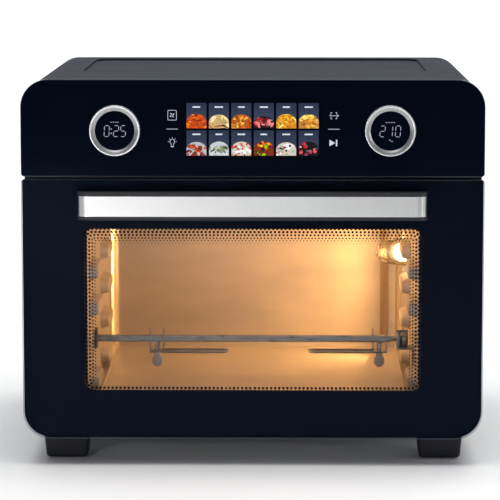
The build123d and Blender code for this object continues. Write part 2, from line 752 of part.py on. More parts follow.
def crumb_tray():
    low = CAVITY_FLOOR + 0.3
    front = CAVITY_FRONT + 4
    back = CAVITY_BACK - 12
    inner = TRAY_X - TRAY_SHEET
    tray = block(-TRAY_X, TRAY_X, front, back, low, low + 3.5)
    tray -= block(-inner, inner, front + TRAY_SHEET, back - TRAY_SHEET, low + TRAY_SHEET, low + 5)
    return tray + block(-TRAY_LIP_X, TRAY_LIP_X, front - 2.5, front + 0.5, low + 2.5, low + 6)


def thermal_sensors():
    """The air temperature probe through the rear wall and the overheat cut-out on the ceiling."""
    probe = rod_y(PROBE_X, CAVITY_BACK - PROBE_REACH, CAVITY_BACK + 8, PROBE_Z, PROBE_R)
    probe += rod_y(PROBE_X, CAVITY_BACK + SHEET, CAVITY_BACK + 4, PROBE_Z, 6)
    low = CAVITY_CEILING + SHEET
    cutout = rod_z(CUTOUT_X, CUTOUT_Y, low, CAVITY_CEILING + 9, 8)
    cutout += block(CUTOUT_X - 12, CUTOUT_X + 12, CUTOUT_Y - 3, CUTOUT_Y + 3, low, low + 1.5)
    return group([probe, cutout])


def fan_guard():
    low = CAVITY_CEILING - GUARD_DEPTH
    inner = GUARD_X - GUARD_SHEET
    guard = block(-GUARD_X, GUARD_X, GUARD_FRONT, GUARD_BACK, low, CAVITY_CEILING)
    guard -= block(
        -inner, inner, GUARD_FRONT + GUARD_SHEET, GUARD_BACK + 1, low + GUARD_SHEET, CAVITY_CEILING + 1
    )
    slot = extrude(RectangleRounded(40.0, 5.0, 2.4), amount=3)
    first = (GUARD_FRONT + GUARD_BACK) / 2 - GUARD_ROW_STEP * (GUARD_ROWS - 1) / 2
    cutters = []
    for x in GUARD_SLOTS_X:
        for row in range(GUARD_ROWS):
            cutters.append(Pos(x, first + GUARD_ROW_STEP * row, low - 1) * slot)
    return guard - cutters


def rod_along(points, radius, bend):
    path = FilletPolyline(*points, radius=bend)
    return sweep((path ^ 0) * Circle(radius), path=path)


def top_heater():
    left_half = [
        (-TOP_LEAD_X, HEATER_END), (-TOP_LEAD_X, TOP_HEATER_REAR),
        (-TOP_HEATER_X, TOP_HEATER_REAR), (-TOP_HEATER_X, TOP_HEATER_FRONT),
    ]
    plan = left_half + [(-x, y) for x, y in reversed(left_half)]
    return rod_along([(x, y, TOP_HEATER_Z) for x, y in plan], HEATER_R, 16)


def lower_heater():
    left_half = [(-LOWER_HEATER_X, HEATER_END), (-LOWER_HEATER_X, LOWER_HEATER_FRONT)]
    plan = left_half + [(-x, y) for x, y in reversed(left_half)]
    return rod_along([(x, y, LOWER_HEATER_Z) for x, y in plan], HEATER_R, 30)


def heater_terminals():
    spots = [(side * TOP_LEAD_X, TOP_HEATER_Z) for side in (-1, 1)]
    spots += [(side * LOWER_HEATER_X, LOWER_HEATER_Z) for side in (-1, 1)]
    start = CAVITY_BACK + SHEET
    blocks = []
    for x, z in spots:
        body = block(x - 7, x + 7, start, start + 9, z - 7, z + 7)
        blocks.append(body - rod_y(x, start - 1, start + 10, z, HEATER_R + 0.1))
    return group(blocks)


def heat_shield():
    low = SHELL_LOW + 7
    inner = SHIELD_X - SHIELD_SHEET
    shield = block(-SHIELD_X, SHIELD_X, SHIELD_FRONT, SHIELD_BACK, low, CAVITY_FLOOR - SHEET)
    return shield - block(-inner, inner, SHIELD_FRONT - 1, SHIELD_BACK + 1, low + SHIELD_SHEET, CAVITY_FLOOR)


# ======================= roof fan =======================


def fan_housing():
    low = CAVITY_CEILING + SHEET
    can = rod_z(0, FAN_Y, low, FAN_HOUSING_TOP, FAN_HOUSING_R)
    can += rod_z(0, FAN_Y, low, low + SHEET, FAN_HOUSING_R + 8)
    can -= rod_z(0, FAN_Y, low - 1, FAN_HOUSING_TOP - SHEET, FAN_HOUSING_R - SHEET)
    return can - rod_z(0, FAN_Y, low, FAN_HOUSING_TOP + 1, SHAFT_R + 3)


def bladed_wheel(r_hub, r_in, r_out, z0, z1, count, lean):
    wheel = rod_z(0, FAN_Y, z0, z1, r_hub)
    wheel += rod_z(0, FAN_Y, z1 - 1.2, z1, r_out - 4)
    for step in range(count):
        blade = Pos((r_in + r_out) / 2, 0, 0) * Rot(0, 0, lean) * Box(r_out - r_in, 1.2, z1 - z0 - 0.4)
        wheel += Pos(0, FAN_Y, (z0 + z1) / 2) * Rot(0, 0, 360 * step / count) * blade
    return wheel - rod_z(0, FAN_Y, z0 - 1, z1 + 1, SHAFT_R)


def fan_impeller():
    return bladed_wheel(IMPELLER_HUB_R, 30.0, IMPELLER_R, IMPELLER_LOW, IMPELLER_HIGH, 16, 18)


def cooling_blade():
    return bladed_wheel(COOLING_HUB_R, 7.0, COOLING_R, COOLING_LOW, COOLING_HIGH, 8, 10)


def motor_shaft():
    return rod_z(0, FAN_Y, IMPELLER_LOW - 2, MOTOR_HIGH + 4, SHAFT_R)


def fan_motor():
    core = block(-MOTOR_X, MOTOR_X, FAN_Y - MOTOR_Y, FAN_Y + MOTOR_Y, MOTOR_LOW, MOTOR_HIGH)
    core = fillet(core.edges().filter_by(Axis.Z), 6)
    winding = MOTOR_Y / 2
    core += block(
        -MOTOR_X - 12, -MOTOR_X + 1, FAN_Y - winding, FAN_Y + winding, MOTOR_LOW + 3, MOTOR_HIGH - 3
    )
    return core - rod_z(0, FAN_Y, MOTOR_LOW - 1, MOTOR_HIGH + 1, SHAFT_R + RUNNING_GAP)


def motor_bracket():
    top = MOTOR_LOW
    reach_x = MOUNT_X + MOUNT_HALF
    reach_y = MOUNT_Y + MOUNT_HALF
    plate = block(-reach_x, reach_x, FAN_Y - reach_y, FAN_Y + reach_y, top - 1.5, top)
    plate -= rod_z(0, FAN_Y, top - 3, top + 1, SHAFT_R + 4)
    leg = block(-MOUNT_HALF, MOUNT_HALF, -MOUNT_HALF, MOUNT_HALF, FAN_HOUSING_TOP, top - 1)
    for x in (-MOUNT_X, MOUNT_X):
        for y in (FAN_Y - MOUNT_Y, FAN_Y + MOUNT_Y):
            plate += Pos(x, y, 0) * leg
    return plate


def power_board():
    """Bare board with a relay, a choke, a round capacitor and a terminal strip on top."""
    low = CAVITY_CEILING + SHEET + POWER_LIFT
    top = low + BOARD_THICK
    base = top - 0.1
    left = POWER_LEFT + 4
    board = block(POWER_LEFT, POWER_RIGHT, POWER_FRONT, POWER_BACK, low, top)
    board += block(left, left + 20, POWER_FRONT + 6, POWER_FRONT + 28, base, top + 18)
    board += block(left + 24, left + 32, POWER_FRONT + 10, POWER_FRONT + 30, base, top + 12)
    board += rod_z(left + 8, POWER_FRONT + 46, base, top + 20, 8)
    board += block(left, left + 30, POWER_BACK - 32, POWER_BACK - 12, base, top + 14)
    return board


def power_board_standoffs():
    low = CAVITY_CEILING + SHEET
    spots_x = (POWER_LEFT + 5, POWER_RIGHT - 5)
    spots_y = (POWER_FRONT + 4, POWER_BACK - 4)
    return group(rod_z(x, y, low, low + POWER_LIFT, 3) for x in spots_x for y in spots_y)


# ======================= lamp =======================


def lamp_cover():
    r = LAMP_COVER_R
    h = LAMP_COVER_PROUD
    outer = [(0, 0), (r, 0), (r, 2.5), (r - 1, 10), (r - 2.5, 20), (r - 6, h - 3), (4, h - 0.6), (0, h)]
    inner = [(0, -1), (r - 2, -1), (r - 2, 2), (r - 3, 9.7), (r - 4.5, 19), (r - 7.6, h - 5), (0, h - 2)]
    return Pos(CAVITY_X, LAMP_Y, LAMP_Z) * Rot(0, -90, 0) * (turned(outer) - turned(inner))


def lamp_holder():
    start = CAVITY_X + SHEET
    cup = rod_x(start, start + 30, LAMP_Y, LAMP_Z, LAMP_CUP_R)
    cup -= rod_x(start - 1, start + 30 - LAMP_CUP_WALL, LAMP_Y, LAMP_Z, LAMP_CUP_R - LAMP_CUP_WALL)
    socket = rod_x(start + 16, start + 28, LAMP_Y, LAMP_Z, LAMP_SOCKET_R)
    return cup + socket - rod_x(start + 15, start + 25, LAMP_Y, LAMP_Z, BULB_CAP_R + 0.2)


def lamp_bulb():
    start = CAVITY_X + SHEET
    reach = start + 24
    outline = [(0, 0), (BULB_CAP_R, 0), (BULB_CAP_R, 16), (9, 24), (9, 31), (6, 36), (0, 38)]
    return Pos(reach, LAMP_Y, LAMP_Z) * Rot(0, -90, 0) * turned(outline)


# ======================= rotisserie =======================


def spit_hole(x0, x1):
    """Square passage for the spit between two places along X."""
    half = SPIT_SIDE / 2 + LOOSE_GAP
    return block(x0, x1, SPIT_Y - half, SPIT_Y + half, SPIT_Z - half, SPIT_Z + half)


def drive_socket():
    """Square-holed driver inside the cavity, on a boss and spindle that pass through the wall."""
    half = SOCKET_SIDE / 2
    body = block(-CAVITY_X + 0.4, SOCKET_FACE, SPIT_Y - half, SPIT_Y + half, SPIT_Z - half, SPIT_Z + half)
    body = fillet(body.edges().filter_by(Axis.X), 2)
    body += rod_x(-CAVITY_X - SHEET - 2, -CAVITY_X + 1, SPIT_Y, SPIT_Z, SOCKET_BOSS_R)
    body += rod_x(-CAVITY_X - 15, -CAVITY_X, SPIT_Y, SPIT_Z, SPINDLE_R)
    return body - spit_hole(SPIT_LEFT - 0.5, SOCKET_FACE + 1)


def gear_motor():
    x = -CAVITY_X - SHEET
    motor = rod_x(x - 38, x - 4, SPIT_Y, SPIT_Z, 24)
    motor += block(x - 5, x, SPIT_Y - 17, SPIT_Y + 17, SPIT_Z - 36, SPIT_Z + 36)
    motor -= rod_x(x - 3, x + 1, SPIT_Y, SPIT_Z, SOCKET_BOSS_R + SOCKET_BOSS_GAP)
    return motor - rod_x(x - 15, x + 1, SPIT_Y, SPIT_Z, SPINDLE_R + RUNNING_GAP)


def spit_bracket():
    """Open cradle on the right wall: a slotted ear, a shelf under the collar and a plate behind it."""
    front = SPIT_Y - CRADLE_HALF
    rear = SPIT_Y + CRADLE_HALF + 0.5
    shelf_high = SPIT_Z - CRADLE_DROP
    shelf_low = shelf_high - CRADLE_SHEET
    base = block(CAVITY_X - CRADLE_SHEET, CAVITY_X, SPIT_Y - 10, SPIT_Y + 10, SPIT_Z - 24, shelf_high)
    shelf = block(CRADLE_X, CAVITY_X - 1, front, rear, shelf_low, shelf_high)
    back = block(CRADLE_X, CRADLE_X + 11, rear - CRADLE_SHEET, rear, shelf_low, SPIT_Z + 7)
    ear = block(CRADLE_X, CRADLE_X + 2, front, rear, shelf_low, SPIT_Z + 5)
    slot = JOURNAL_R + LOOSE_GAP
    ear -= rod_x(CRADLE_X - 1, CRADLE_X + 3, SPIT_Y, SPIT_Z, slot)
    ear -= block(CRADLE_X - 1, CRADLE_X + 3, SPIT_Y - slot, SPIT_Y + slot, SPIT_Z, SPIT_Z + 20)
    return base + shelf + back + ear


def spit():
    half = SPIT_SIDE / 2
    bar = block(SPIT_LEFT, SPIT_SHOULDER, SPIT_Y - half, SPIT_Y + half, SPIT_Z - half, SPIT_Z + half)
    bar = chamfer(bar.edges().filter_by(Axis.X), 0.7)
    bar += rod_x(SPIT_SHOULDER - 1, SPIT_RIGHT, SPIT_Y, SPIT_Z, JOURNAL_R)
    collar = rod_x(SPIT_RIGHT - COLLAR_THICK, SPIT_RIGHT, SPIT_Y, SPIT_Z, COLLAR_R)
    return bar + chamfer(collar.edges().filter_by(GeomType.CIRCLE), 1.6)


def fork(x, inward):
    """U-shaped spit clamp with a pair of tines; inward is the direction of the tines along X."""
    front = SPIT_Y - FORK_WIDTH / 2
    rear = SPIT_Y + FORK_WIDTH / 2
    reach = FORK_HALF + FORK_PLATE / 2
    low = SPIT_Z - FORK_DOWN
    clamp = block(x - reach, x + reach, front, rear, low, low + FORK_PLATE)
    for side in (-1, 1):
        centre = x + side * FORK_HALF
        ear = block(centre - FORK_PLATE / 2, centre + FORK_PLATE / 2, front, rear, low, SPIT_Z + FORK_UP)
        clamp += fillet([e for e in ear.edges().filter_by(Axis.X) if e.center().Z > SPIT_Z], 5)
    root = x + inward * (reach - 3)
    tip = x + inward * (reach + TINE_LENGTH)
    for y in (SPIT_Y - TINE_Y, SPIT_Y + TINE_Y):
        tine = rod_x(min(root, tip), max(root, tip), y, low + FORK_PLATE / 2, TINE_R)
        end = tine.faces().filter_by(Axis.X).sort_by(Axis.X)[-1 if inward > 0 else 0]
        clamp += chamfer(end.edges(), length=TINE_R * 0.8, length2=5.0, reference=end)
    clamp -= spit_hole(x - 10, x + 10)
    return clamp - rod_z(x, SPIT_Y, low - 3, low + 3, THUMB_R + RUNNING_GAP)


def left_fork():
    return fork(FORK_LEFT_X, 1)


def right_fork():
    return fork(FORK_RIGHT_X, -1)


def thumb_screw(x):
    top = SPIT_Z - SPIT_SIDE / 2 - LOOSE_GAP
    low = SPIT_Z - FORK_DOWN
    shank = rod_z(x, SPIT_Y, low - 5, top, THUMB_R)
    collar = rod_z(x, SPIT_Y, low - 3.4, low - 0.4, 3.0)
    head = upright(Pos(x, low - 8.5) * Ellipse(4.9, 5.8), SPIT_Y - 1.6, SPIT_Y + 1.6)
    return shank + collar + head


def left_thumb_screw():
    return thumb_screw(FORK_LEFT_X)


def right_thumb_screw():
    return thumb_screw(FORK_RIGHT_X)


PIECES = [
    housing_shell, rear_cover, cord_gland, rear_spacers, base_plate, feet, foot_pads, casing_screws,
    front_frame, door_gasket, control_fascia, fascia_carrier, display_module, control_board,
    time_dial_ring, temperature_dial_ring, dial_lenses, rotary_encoders, door_outer_glass, door_frame,
    door_inner_panel, door_inner_glass, handle_cover, handle_backing, handle_screws, door_magnet,
    door_sensor, hinge_brackets, hinge_pins, cavity_left_wall, cavity_right_wall, cavity_rear_wall,
    cavity_floor, cavity_ceiling, crumb_tray, thermal_sensors, fan_guard, top_heater, lower_heater,
    heater_terminals, heat_shield, fan_housing, fan_impeller, cooling_blade, motor_shaft, fan_motor,
    motor_bracket, power_board, power_board_standoffs, lamp_cover, lamp_holder, lamp_bulb,
    drive_socket, gear_motor, spit_bracket, spit, left_fork, right_fork, left_thumb_screw,
    right_thumb_screw,
]

os.makedirs("parts", exist_ok=True)
for piece in PIECES:
    export_step(piece(), os.path.join("parts", piece.__name__ + ".step"))
    print(piece.__name__)
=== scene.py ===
import math
import random

import bmesh
import bpy
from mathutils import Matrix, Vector


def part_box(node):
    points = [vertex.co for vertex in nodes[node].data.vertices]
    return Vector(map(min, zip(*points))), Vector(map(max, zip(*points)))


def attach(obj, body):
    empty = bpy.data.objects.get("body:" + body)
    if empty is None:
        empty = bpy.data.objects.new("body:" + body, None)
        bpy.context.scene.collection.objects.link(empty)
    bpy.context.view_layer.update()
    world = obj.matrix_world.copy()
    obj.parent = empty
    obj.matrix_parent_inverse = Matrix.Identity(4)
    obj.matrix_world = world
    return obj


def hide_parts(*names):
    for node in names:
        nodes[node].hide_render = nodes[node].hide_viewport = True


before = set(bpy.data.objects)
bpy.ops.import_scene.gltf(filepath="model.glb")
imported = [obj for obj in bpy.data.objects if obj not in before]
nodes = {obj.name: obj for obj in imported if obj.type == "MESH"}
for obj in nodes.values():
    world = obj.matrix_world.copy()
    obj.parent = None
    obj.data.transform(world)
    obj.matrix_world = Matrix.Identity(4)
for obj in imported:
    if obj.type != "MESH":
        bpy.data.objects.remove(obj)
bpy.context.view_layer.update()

# The looks of a countertop air fryer oven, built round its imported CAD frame. Metres throughout.

MM = 0.001
seed = random.Random(11)

# ---- places read from the frame ----
glass_low, glass_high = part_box("door_outer_glass")
screen_low, screen_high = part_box("display_module")
floor_low, floor_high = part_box("cavity_floor")
cavity_low = Vector((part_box("cavity_left_wall")[0].x, floor_low.y, floor_high.z))
cavity_high = Vector((-cavity_low.x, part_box("cavity_rear_wall")[1].y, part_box("cavity_ceiling")[0].z))
lamp_low, lamp_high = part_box("lamp_cover")
FRONT = glass_low.y
CAVITY_SHEET = 0.0008
REAR_FACE = cavity_high.y - CAVITY_SHEET
DIALS = [("time_dial_ring", "time_dial"), ("temperature_dial_ring", "temperature_dial")]


# ======================= materials =======================

NOISE_LOW, NOISE_HIGH = 0.3, 0.7
BUMP_DEPTH = 0.0004
BUMP_DETAIL = 3.0
GLASS_SHADE = 0.97
GLASS_SCALE = 25.0
# Ground glass edges: their colours, dark above and paler below, the paler one a painted reflection of the
# floor; the cosine that tells a face from an edge, and where the colours meet.
EDGE_ABOVE = (0.030, 0.036, 0.055)
EDGE_BELOW_PAINTED_SHEEN = (0.090, 0.105, 0.150)
FACE_COSINE = 0.95
EDGE_RAMP = (0.3, 0.6)
# A lit print: the scale of its noise, and its own colour under the light it gives.
PRINT_SCALE = 1400.0
UNLIT_DARK = (0.004, 0.004, 0.006)
UNLIT_LIGHT = (0.008, 0.008, 0.010)


def new_material(name):
    """A material with an empty tree but for a shader wired to its output."""
    material = bpy.data.materials.new(name)
    material.use_nodes = True
    tree = material.node_tree
    tree.nodes.clear()
    out = tree.nodes.new("ShaderNodeOutputMaterial")
    shader = tree.nodes.new("ShaderNodeBsdfPrincipled")
    tree.links.new(shader.outputs["BSDF"], out.inputs["Surface"])
    return material, tree, shader


def textured_noise(tree, scale, stretch=(1, 1, 1), detail=5.0):
    """A noise texture in object space, in features per metre."""
    place = tree.nodes.new("ShaderNodeTexCoord")
    mapping = tree.nodes.new("ShaderNodeMapping")
    mapping.inputs["Scale"].default_value = stretch
    noise = tree.nodes.new("ShaderNodeTexNoise")
    noise.inputs["Scale"].default_value = scale
    noise.inputs["Detail"].default_value = detail
    tree.links.new(place.outputs["Object"], mapping.inputs["Vector"])
    tree.links.new(mapping.outputs["Vector"], noise.inputs["Vector"])
    return noise


def ramp(tree, source, stops):
    """A colour ramp between two stops, each a place and a colour."""
    node = tree.nodes.new("ShaderNodeValToRGB")
    elements = node.color_ramp.elements
    for element, (place, colour) in zip(elements, stops):
        element.position = place
        element.color = (*colour, 1)
    tree.links.new(source, node.inputs["Fac"])
    return node.outputs["Color"]


def spread(tree, source, low, high):
    """Noise stretched over a range of values."""
    node = tree.nodes.new("ShaderNodeMapRange")
    node.inputs["From Min"].default_value = NOISE_LOW
    node.inputs["From Max"].default_value = NOISE_HIGH
    node.inputs["To Min"].default_value = low
    node.inputs["To Max"].default_value = high
    tree.links.new(source, node.inputs["Value"])
    return node.outputs["Result"]


def set_sockets(shader, sockets):
    """Sets shader sockets by name, with underscores for the spaces."""
    for socket, value in sockets.items():
        shader.inputs[socket.replace("_", " ")].default_value = value


def surface(name, dark, light, rough, scale=60.0, stretch=(1, 1, 1), grain=900.0, bump=0.0, **sockets):
    """A finish whose colour and roughness wander, with a fine bump grain where one is asked for."""
    material, tree, shader = new_material(name)
    tone = textured_noise(tree, scale, stretch)
    colour = ramp(tree, tone.outputs["Fac"], [(NOISE_LOW, dark), (NOISE_HIGH, light)])
    tree.links.new(colour, shader.inputs["Base Color"])
    tree.links.new(spread(tree, tone.outputs["Fac"], *rough), shader.inputs["Roughness"])
    if bump:
        fine = textured_noise(tree, grain, stretch, BUMP_DETAIL)
        relief = tree.nodes.new("ShaderNodeBump")
        relief.inputs["Strength"].default_value = bump
        relief.inputs["Distance"].default_value = BUMP_DEPTH
        tree.links.new(fine.outputs["Fac"], relief.inputs["Height"])
        tree.links.new(relief.outputs["Normal"], shader.inputs["Normal"])
    set_sockets(shader, sockets)
    return material


def ground_edges_painted_sheen(material):
    """Ground glass edges round a panel: dark along its top, paler down its sides and below as painted
    reflection of the floor.

    Returns a socket that is 1 on the panel's front and back and 0 on its edges."""
    tree = material.node_tree
    shader = tree.nodes["Principled BSDF"]
    place = tree.nodes.new("ShaderNodeTexCoord")
    axes = tree.nodes.new("ShaderNodeSeparateXYZ")
    tree.links.new(place.outputs["Normal"], axes.inputs["Vector"])
    level = tree.nodes.new("ShaderNodeMath")
    level.operation = "ABSOLUTE"
    tree.links.new(axes.outputs["Y"], level.inputs[0])
    face = tree.nodes.new("ShaderNodeMath")
    face.operation = "GREATER_THAN"
    face.inputs[1].default_value = FACE_COSINE
    tree.links.new(level.outputs["Value"], face.inputs[0])
    # The edge colour follows which way the edge faces: paler facing down and sideways, a painted reflection of
    # the floor.
    edge = ramp(tree, axes.outputs["Z"], [(EDGE_RAMP[0], EDGE_BELOW_PAINTED_SHEEN), (EDGE_RAMP[1], EDGE_ABOVE)])
    mix = tree.nodes.new("ShaderNodeMix")
    mix.data_type = "RGBA"
    tree.links.new(edge, mix.inputs["A"])
    tree.links.new(face.outputs["Value"], mix.inputs["Factor"])
    base = shader.inputs["Base Color"]
    tree.links.new(base.links[0].from_socket, mix.inputs["B"])
    tree.links.new(mix.outputs["Result"], base)
    return face.outputs["Value"]


def clear_glass(name, tint, rough, **sockets):
    """Glass whose tint wanders a little."""
    shade = tuple(GLASS_SHADE * c for c in tint)
    return surface(name, tint, shade, rough, scale=GLASS_SCALE, Transmission_Weight=1.0, **sockets)


def glowing(name, strength, variation=0.12):
    """A lit print whose colour is the mesh's own tint attribute, broken up a little by noise."""
    material, tree, shader = new_material(name)
    tint = tree.nodes.new("ShaderNodeAttribute")
    tint.attribute_name = "tint"
    noise = textured_noise(tree, PRINT_SCALE)
    level = spread(tree, noise.outputs["Fac"], 1 - variation, 1 + variation)
    mix = tree.nodes.new("ShaderNodeVectorMath")
    mix.operation = "SCALE"
    tree.links.new(tint.outputs["Color"], mix.inputs[0])
    tree.links.new(level, mix.inputs["Scale"])
    tree.links.new(mix.outputs["Vector"], shader.inputs["Emission Color"])
    unlit = ramp(tree, noise.outputs["Fac"], [(NOISE_LOW, UNLIT_DARK), (NOISE_HIGH, UNLIT_LIGHT)])
    tree.links.new(unlit, shader.inputs["Base Color"])
    set_sockets(shader, {"Emission Strength": strength, "Roughness": 0.3, "Specular IOR Level": 0.1})
    return material


NAVY_SHEEN = (0.42, 0.58, 1.0, 1)
PAINT_SHEEN = (0.60, 0.66, 1.0, 1)
shell_paint = surface("shell_paint", (0.014, 0.016, 0.024), (0.019, 0.021, 0.031), (0.40, 0.48),
                      scale=14, grain=2600, bump=0.08, Specular_IOR_Level=0.13, Specular_Tint=PAINT_SHEEN)
fascia_gloss = surface("fascia_gloss", (0.0011, 0.0021, 0.0062), (0.0016, 0.0027, 0.0078), (0.05, 0.09),
                       scale=9, Specular_IOR_Level=0.09, Specular_Tint=NAVY_SHEEN)
ground_edges_painted_sheen(fascia_gloss)
enamel_print = surface("enamel_print", (0.0011, 0.0021, 0.0062), (0.0016, 0.0027, 0.0078), (0.3, 0.4),
                       scale=9, Specular_IOR_Level=0.1, Specular_Tint=NAVY_SHEEN)
door_pane = clear_glass("door_pane", (0.98, 0.99, 1.0), (0.0, 0.012), IOR=1.06)
door_face = ground_edges_painted_sheen(door_pane)
door_shader = door_pane.node_tree.nodes["Principled BSDF"]
door_pane.node_tree.links.new(door_face, door_shader.inputs["Transmission Weight"])
inner_pane = clear_glass("inner_pane", (1.0, 0.995, 0.98), (0.0, 0.02), IOR=1.10)
lamp_glass = clear_glass("lamp_glass", (1.0, 0.98, 0.93), (0.05, 0.2))
black_moulding = surface("black_moulding", (0.008, 0.009, 0.012), (0.014, 0.015, 0.019), (0.38, 0.52),
                         scale=80, grain=2200, bump=0.18)
foot_moulding = surface("foot_moulding", (0.007, 0.008, 0.015), (0.011, 0.012, 0.021), (0.42, 0.58),
                        scale=90, grain=1800, bump=0.3, Specular_IOR_Level=0.3)
rubber = surface("rubber", (0.012, 0.012, 0.012), (0.022, 0.022, 0.021), (0.7, 0.85), scale=200, bump=0.35)
black_enamel = surface("black_enamel", (0.010, 0.010, 0.012), (0.018, 0.018, 0.021), (0.3, 0.42),
                       scale=50, grain=1600, bump=0.1)
galvanised = surface("galvanised", (0.42, 0.43, 0.45), (0.62, 0.63, 0.64), (0.3, 0.5),
                     scale=140, bump=0.08, Metallic=1.0)
cavity_steel = surface("cavity_steel", (0.46, 0.42, 0.38), (0.56, 0.52, 0.47), (0.40, 0.52),
                       scale=14, stretch=(1, 1, 3), grain=700, bump=0.06, Metallic=0.3)
brushed_cover = surface("brushed_cover", (0.74, 0.74, 0.735), (0.86, 0.86, 0.855), (0.17, 0.24),
                        scale=60, stretch=(0.3, 12, 30), grain=900, bump=0.03, Metallic=0.92)
stainless = surface("stainless", (0.20, 0.21, 0.22), (0.36, 0.37, 0.38), (0.26, 0.42),
                    scale=260, stretch=(0.3, 3, 3), grain=1300, bump=0.1, Metallic=0.75)
dark_steel = surface("dark_steel", (0.10, 0.085, 0.08), (0.20, 0.17, 0.15), (0.3, 0.5),
                     scale=240, grain=1300, bump=0.15, Metallic=0.8)
dial_metal = surface("dial_metal", (0.85, 0.85, 0.85), (0.89, 0.89, 0.885), (0.22, 0.25),
                     scale=6, Metallic=0.85)
satin_steel = surface("satin_steel", (0.50, 0.50, 0.50), (0.70, 0.70, 0.69), (0.30, 0.42),
                      scale=700, stretch=(4, 1, 0.4), grain=1500, bump=0.12, Metallic=0.35)
# A darker steel for a strip down the rear wall: painted shade below the lamp.
rear_strip_shade_steel = surface("rear_strip_shade_steel", (0.30, 0.20, 0.10), (0.40, 0.28, 0.15), (0.32, 0.46),
                      scale=60, stretch=(4, 1, 0.4), grain=900, bump=0.08, Metallic=0.5)
# The same metal as the dial ring, painted darker: shade on the inner bevel.
dial_bevel_painted_shade = surface("dial_bevel_painted_shade", (0.36, 0.36, 0.37), (0.46, 0.46, 0.47), (0.30, 0.36),
                     scale=6, Metallic=0.9)
polished_bead = surface("polished_bead", (0.90, 0.86, 0.78), (0.96, 0.93, 0.86), (0.17, 0.23),
                        scale=15, stretch=(1, 1, 0.2), Metallic=0.9)
plated_steel = surface("plated_steel", (0.4, 0.4, 0.4), (0.6, 0.6, 0.6), (0.2, 0.36),
                       scale=500, bump=0.06, Metallic=1.0)
heater_sheath = surface("heater_sheath", (0.06, 0.055, 0.05), (0.13, 0.11, 0.09), (0.45, 0.65),
                        scale=300, bump=0.25, Metallic=0.6)
ceramic = surface("ceramic", (0.72, 0.70, 0.65), (0.84, 0.82, 0.77), (0.5, 0.7), scale=160, bump=0.1)
motor_core = surface("motor_core", (0.16, 0.16, 0.17), (0.3, 0.3, 0.31), (0.35, 0.5),
                     scale=220, stretch=(1, 1, 14), bump=0.3, Metallic=0.9)
circuit_board = surface("circuit_board", (0.01, 0.06, 0.025), (0.02, 0.12, 0.045), (0.3, 0.45),
                        scale=300, bump=0.1)
bulb_glow = surface("bulb_glow", (1.0, 0.72, 0.36), (1.0, 0.80, 0.46), (0.1, 0.2), scale=90,
                    Emission_Color=(1.0, 0.70, 0.34, 1), Emission_Strength=8.0)
screen_black = surface("screen_black", (0.0009, 0.0014, 0.0038), (0.0014, 0.0020, 0.0052), (0.06, 0.10),
                       scale=30, Specular_IOR_Level=0.12, Specular_Tint=NAVY_SHEEN)
lit_print = glowing("lit_print", 1.0)
lit_pictures = glowing("lit_pictures", 1.0, 0.35)

CAD_FINISH = {
    shell_paint: ["housing_shell"],
    fascia_gloss: ["control_fascia", "dial_lenses"],
    door_pane: ["door_outer_glass"],
    inner_pane: ["door_inner_glass"],
    lamp_glass: ["lamp_cover"],
    bulb_glow: ["lamp_bulb"],
    screen_black: ["display_module"],
    black_moulding: ["fascia_carrier", "handle_backing", "cord_gland", "rear_spacers", "rotary_encoders",
                     "door_frame", "door_sensor", "power_board_standoffs"],
    foot_moulding: ["feet"],
    rubber: ["foot_pads", "door_gasket"],
    black_enamel: ["rear_cover", "front_frame", "door_inner_panel", "door_magnet"],
    galvanised: ["base_plate", "hinge_brackets", "heat_shield", "fan_housing", "motor_bracket"],
    cavity_steel: ["cavity_left_wall", "cavity_right_wall", "cavity_rear_wall", "cavity_floor",
                   "cavity_ceiling", "crumb_tray", "fan_guard"],
    brushed_cover: ["handle_cover"],
    stainless: ["spit", "spit_bracket", "left_fork", "right_fork", "fan_impeller", "cooling_blade"],
    satin_steel: ["left_thumb_screw", "right_thumb_screw"],
    dark_steel: ["drive_socket"],
    dial_metal: ["time_dial_ring", "temperature_dial_ring"],
    plated_steel: ["casing_screws", "handle_screws", "hinge_pins", "thermal_sensors", "motor_shaft"],
    heater_sheath: ["top_heater", "lower_heater"],
    ceramic: ["heater_terminals", "lamp_holder"],
    motor_core: ["fan_motor", "gear_motor"],
    circuit_board: ["control_board", "power_board"],
}
for material, names in CAD_FINISH.items():
    for name in names:
        nodes[name].data.materials.clear()
        nodes[name].data.materials.append(material)


# ======================= mesh helpers =======================

SHARP_ANGLE = 32
SCREEN_GAMMA = 2.2


def new_object(name, data):
    """An object linked into the scene."""
    obj = bpy.data.objects.new(name, data)
    bpy.context.scene.collection.objects.link(obj)
    return obj


def finish_piece(name, mesh, material, body, smooth=False):
    """A mesh becomes a piece that rides on a body, with its normals made consistent."""
    bmesh.ops.recalc_face_normals(mesh, faces=mesh.faces)
    data = bpy.data.meshes.new(name)
    mesh.to_mesh(data)
    mesh.free()
    data.materials.append(material)
    obj = new_object(name, data)
    for polygon in data.polygons:
        polygon.use_smooth = smooth
    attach(obj, body)
    return obj


def keep_edges_sharp(piece):
    """Smooth shading stops at a piece's sharper edges."""
    edges = piece.modifiers.new("edges", "EDGE_SPLIT")
    edges.split_angle = math.radians(SHARP_ANGLE)


def linear(colour):
    """A screen colour as light."""
    return tuple(c ** SCREEN_GAMMA for c in colour)


def start_mesh():
    """An empty mesh whose vertices carry a tint."""
    mesh = bmesh.new()
    mesh.verts.layers.float_color.new("tint")
    return mesh


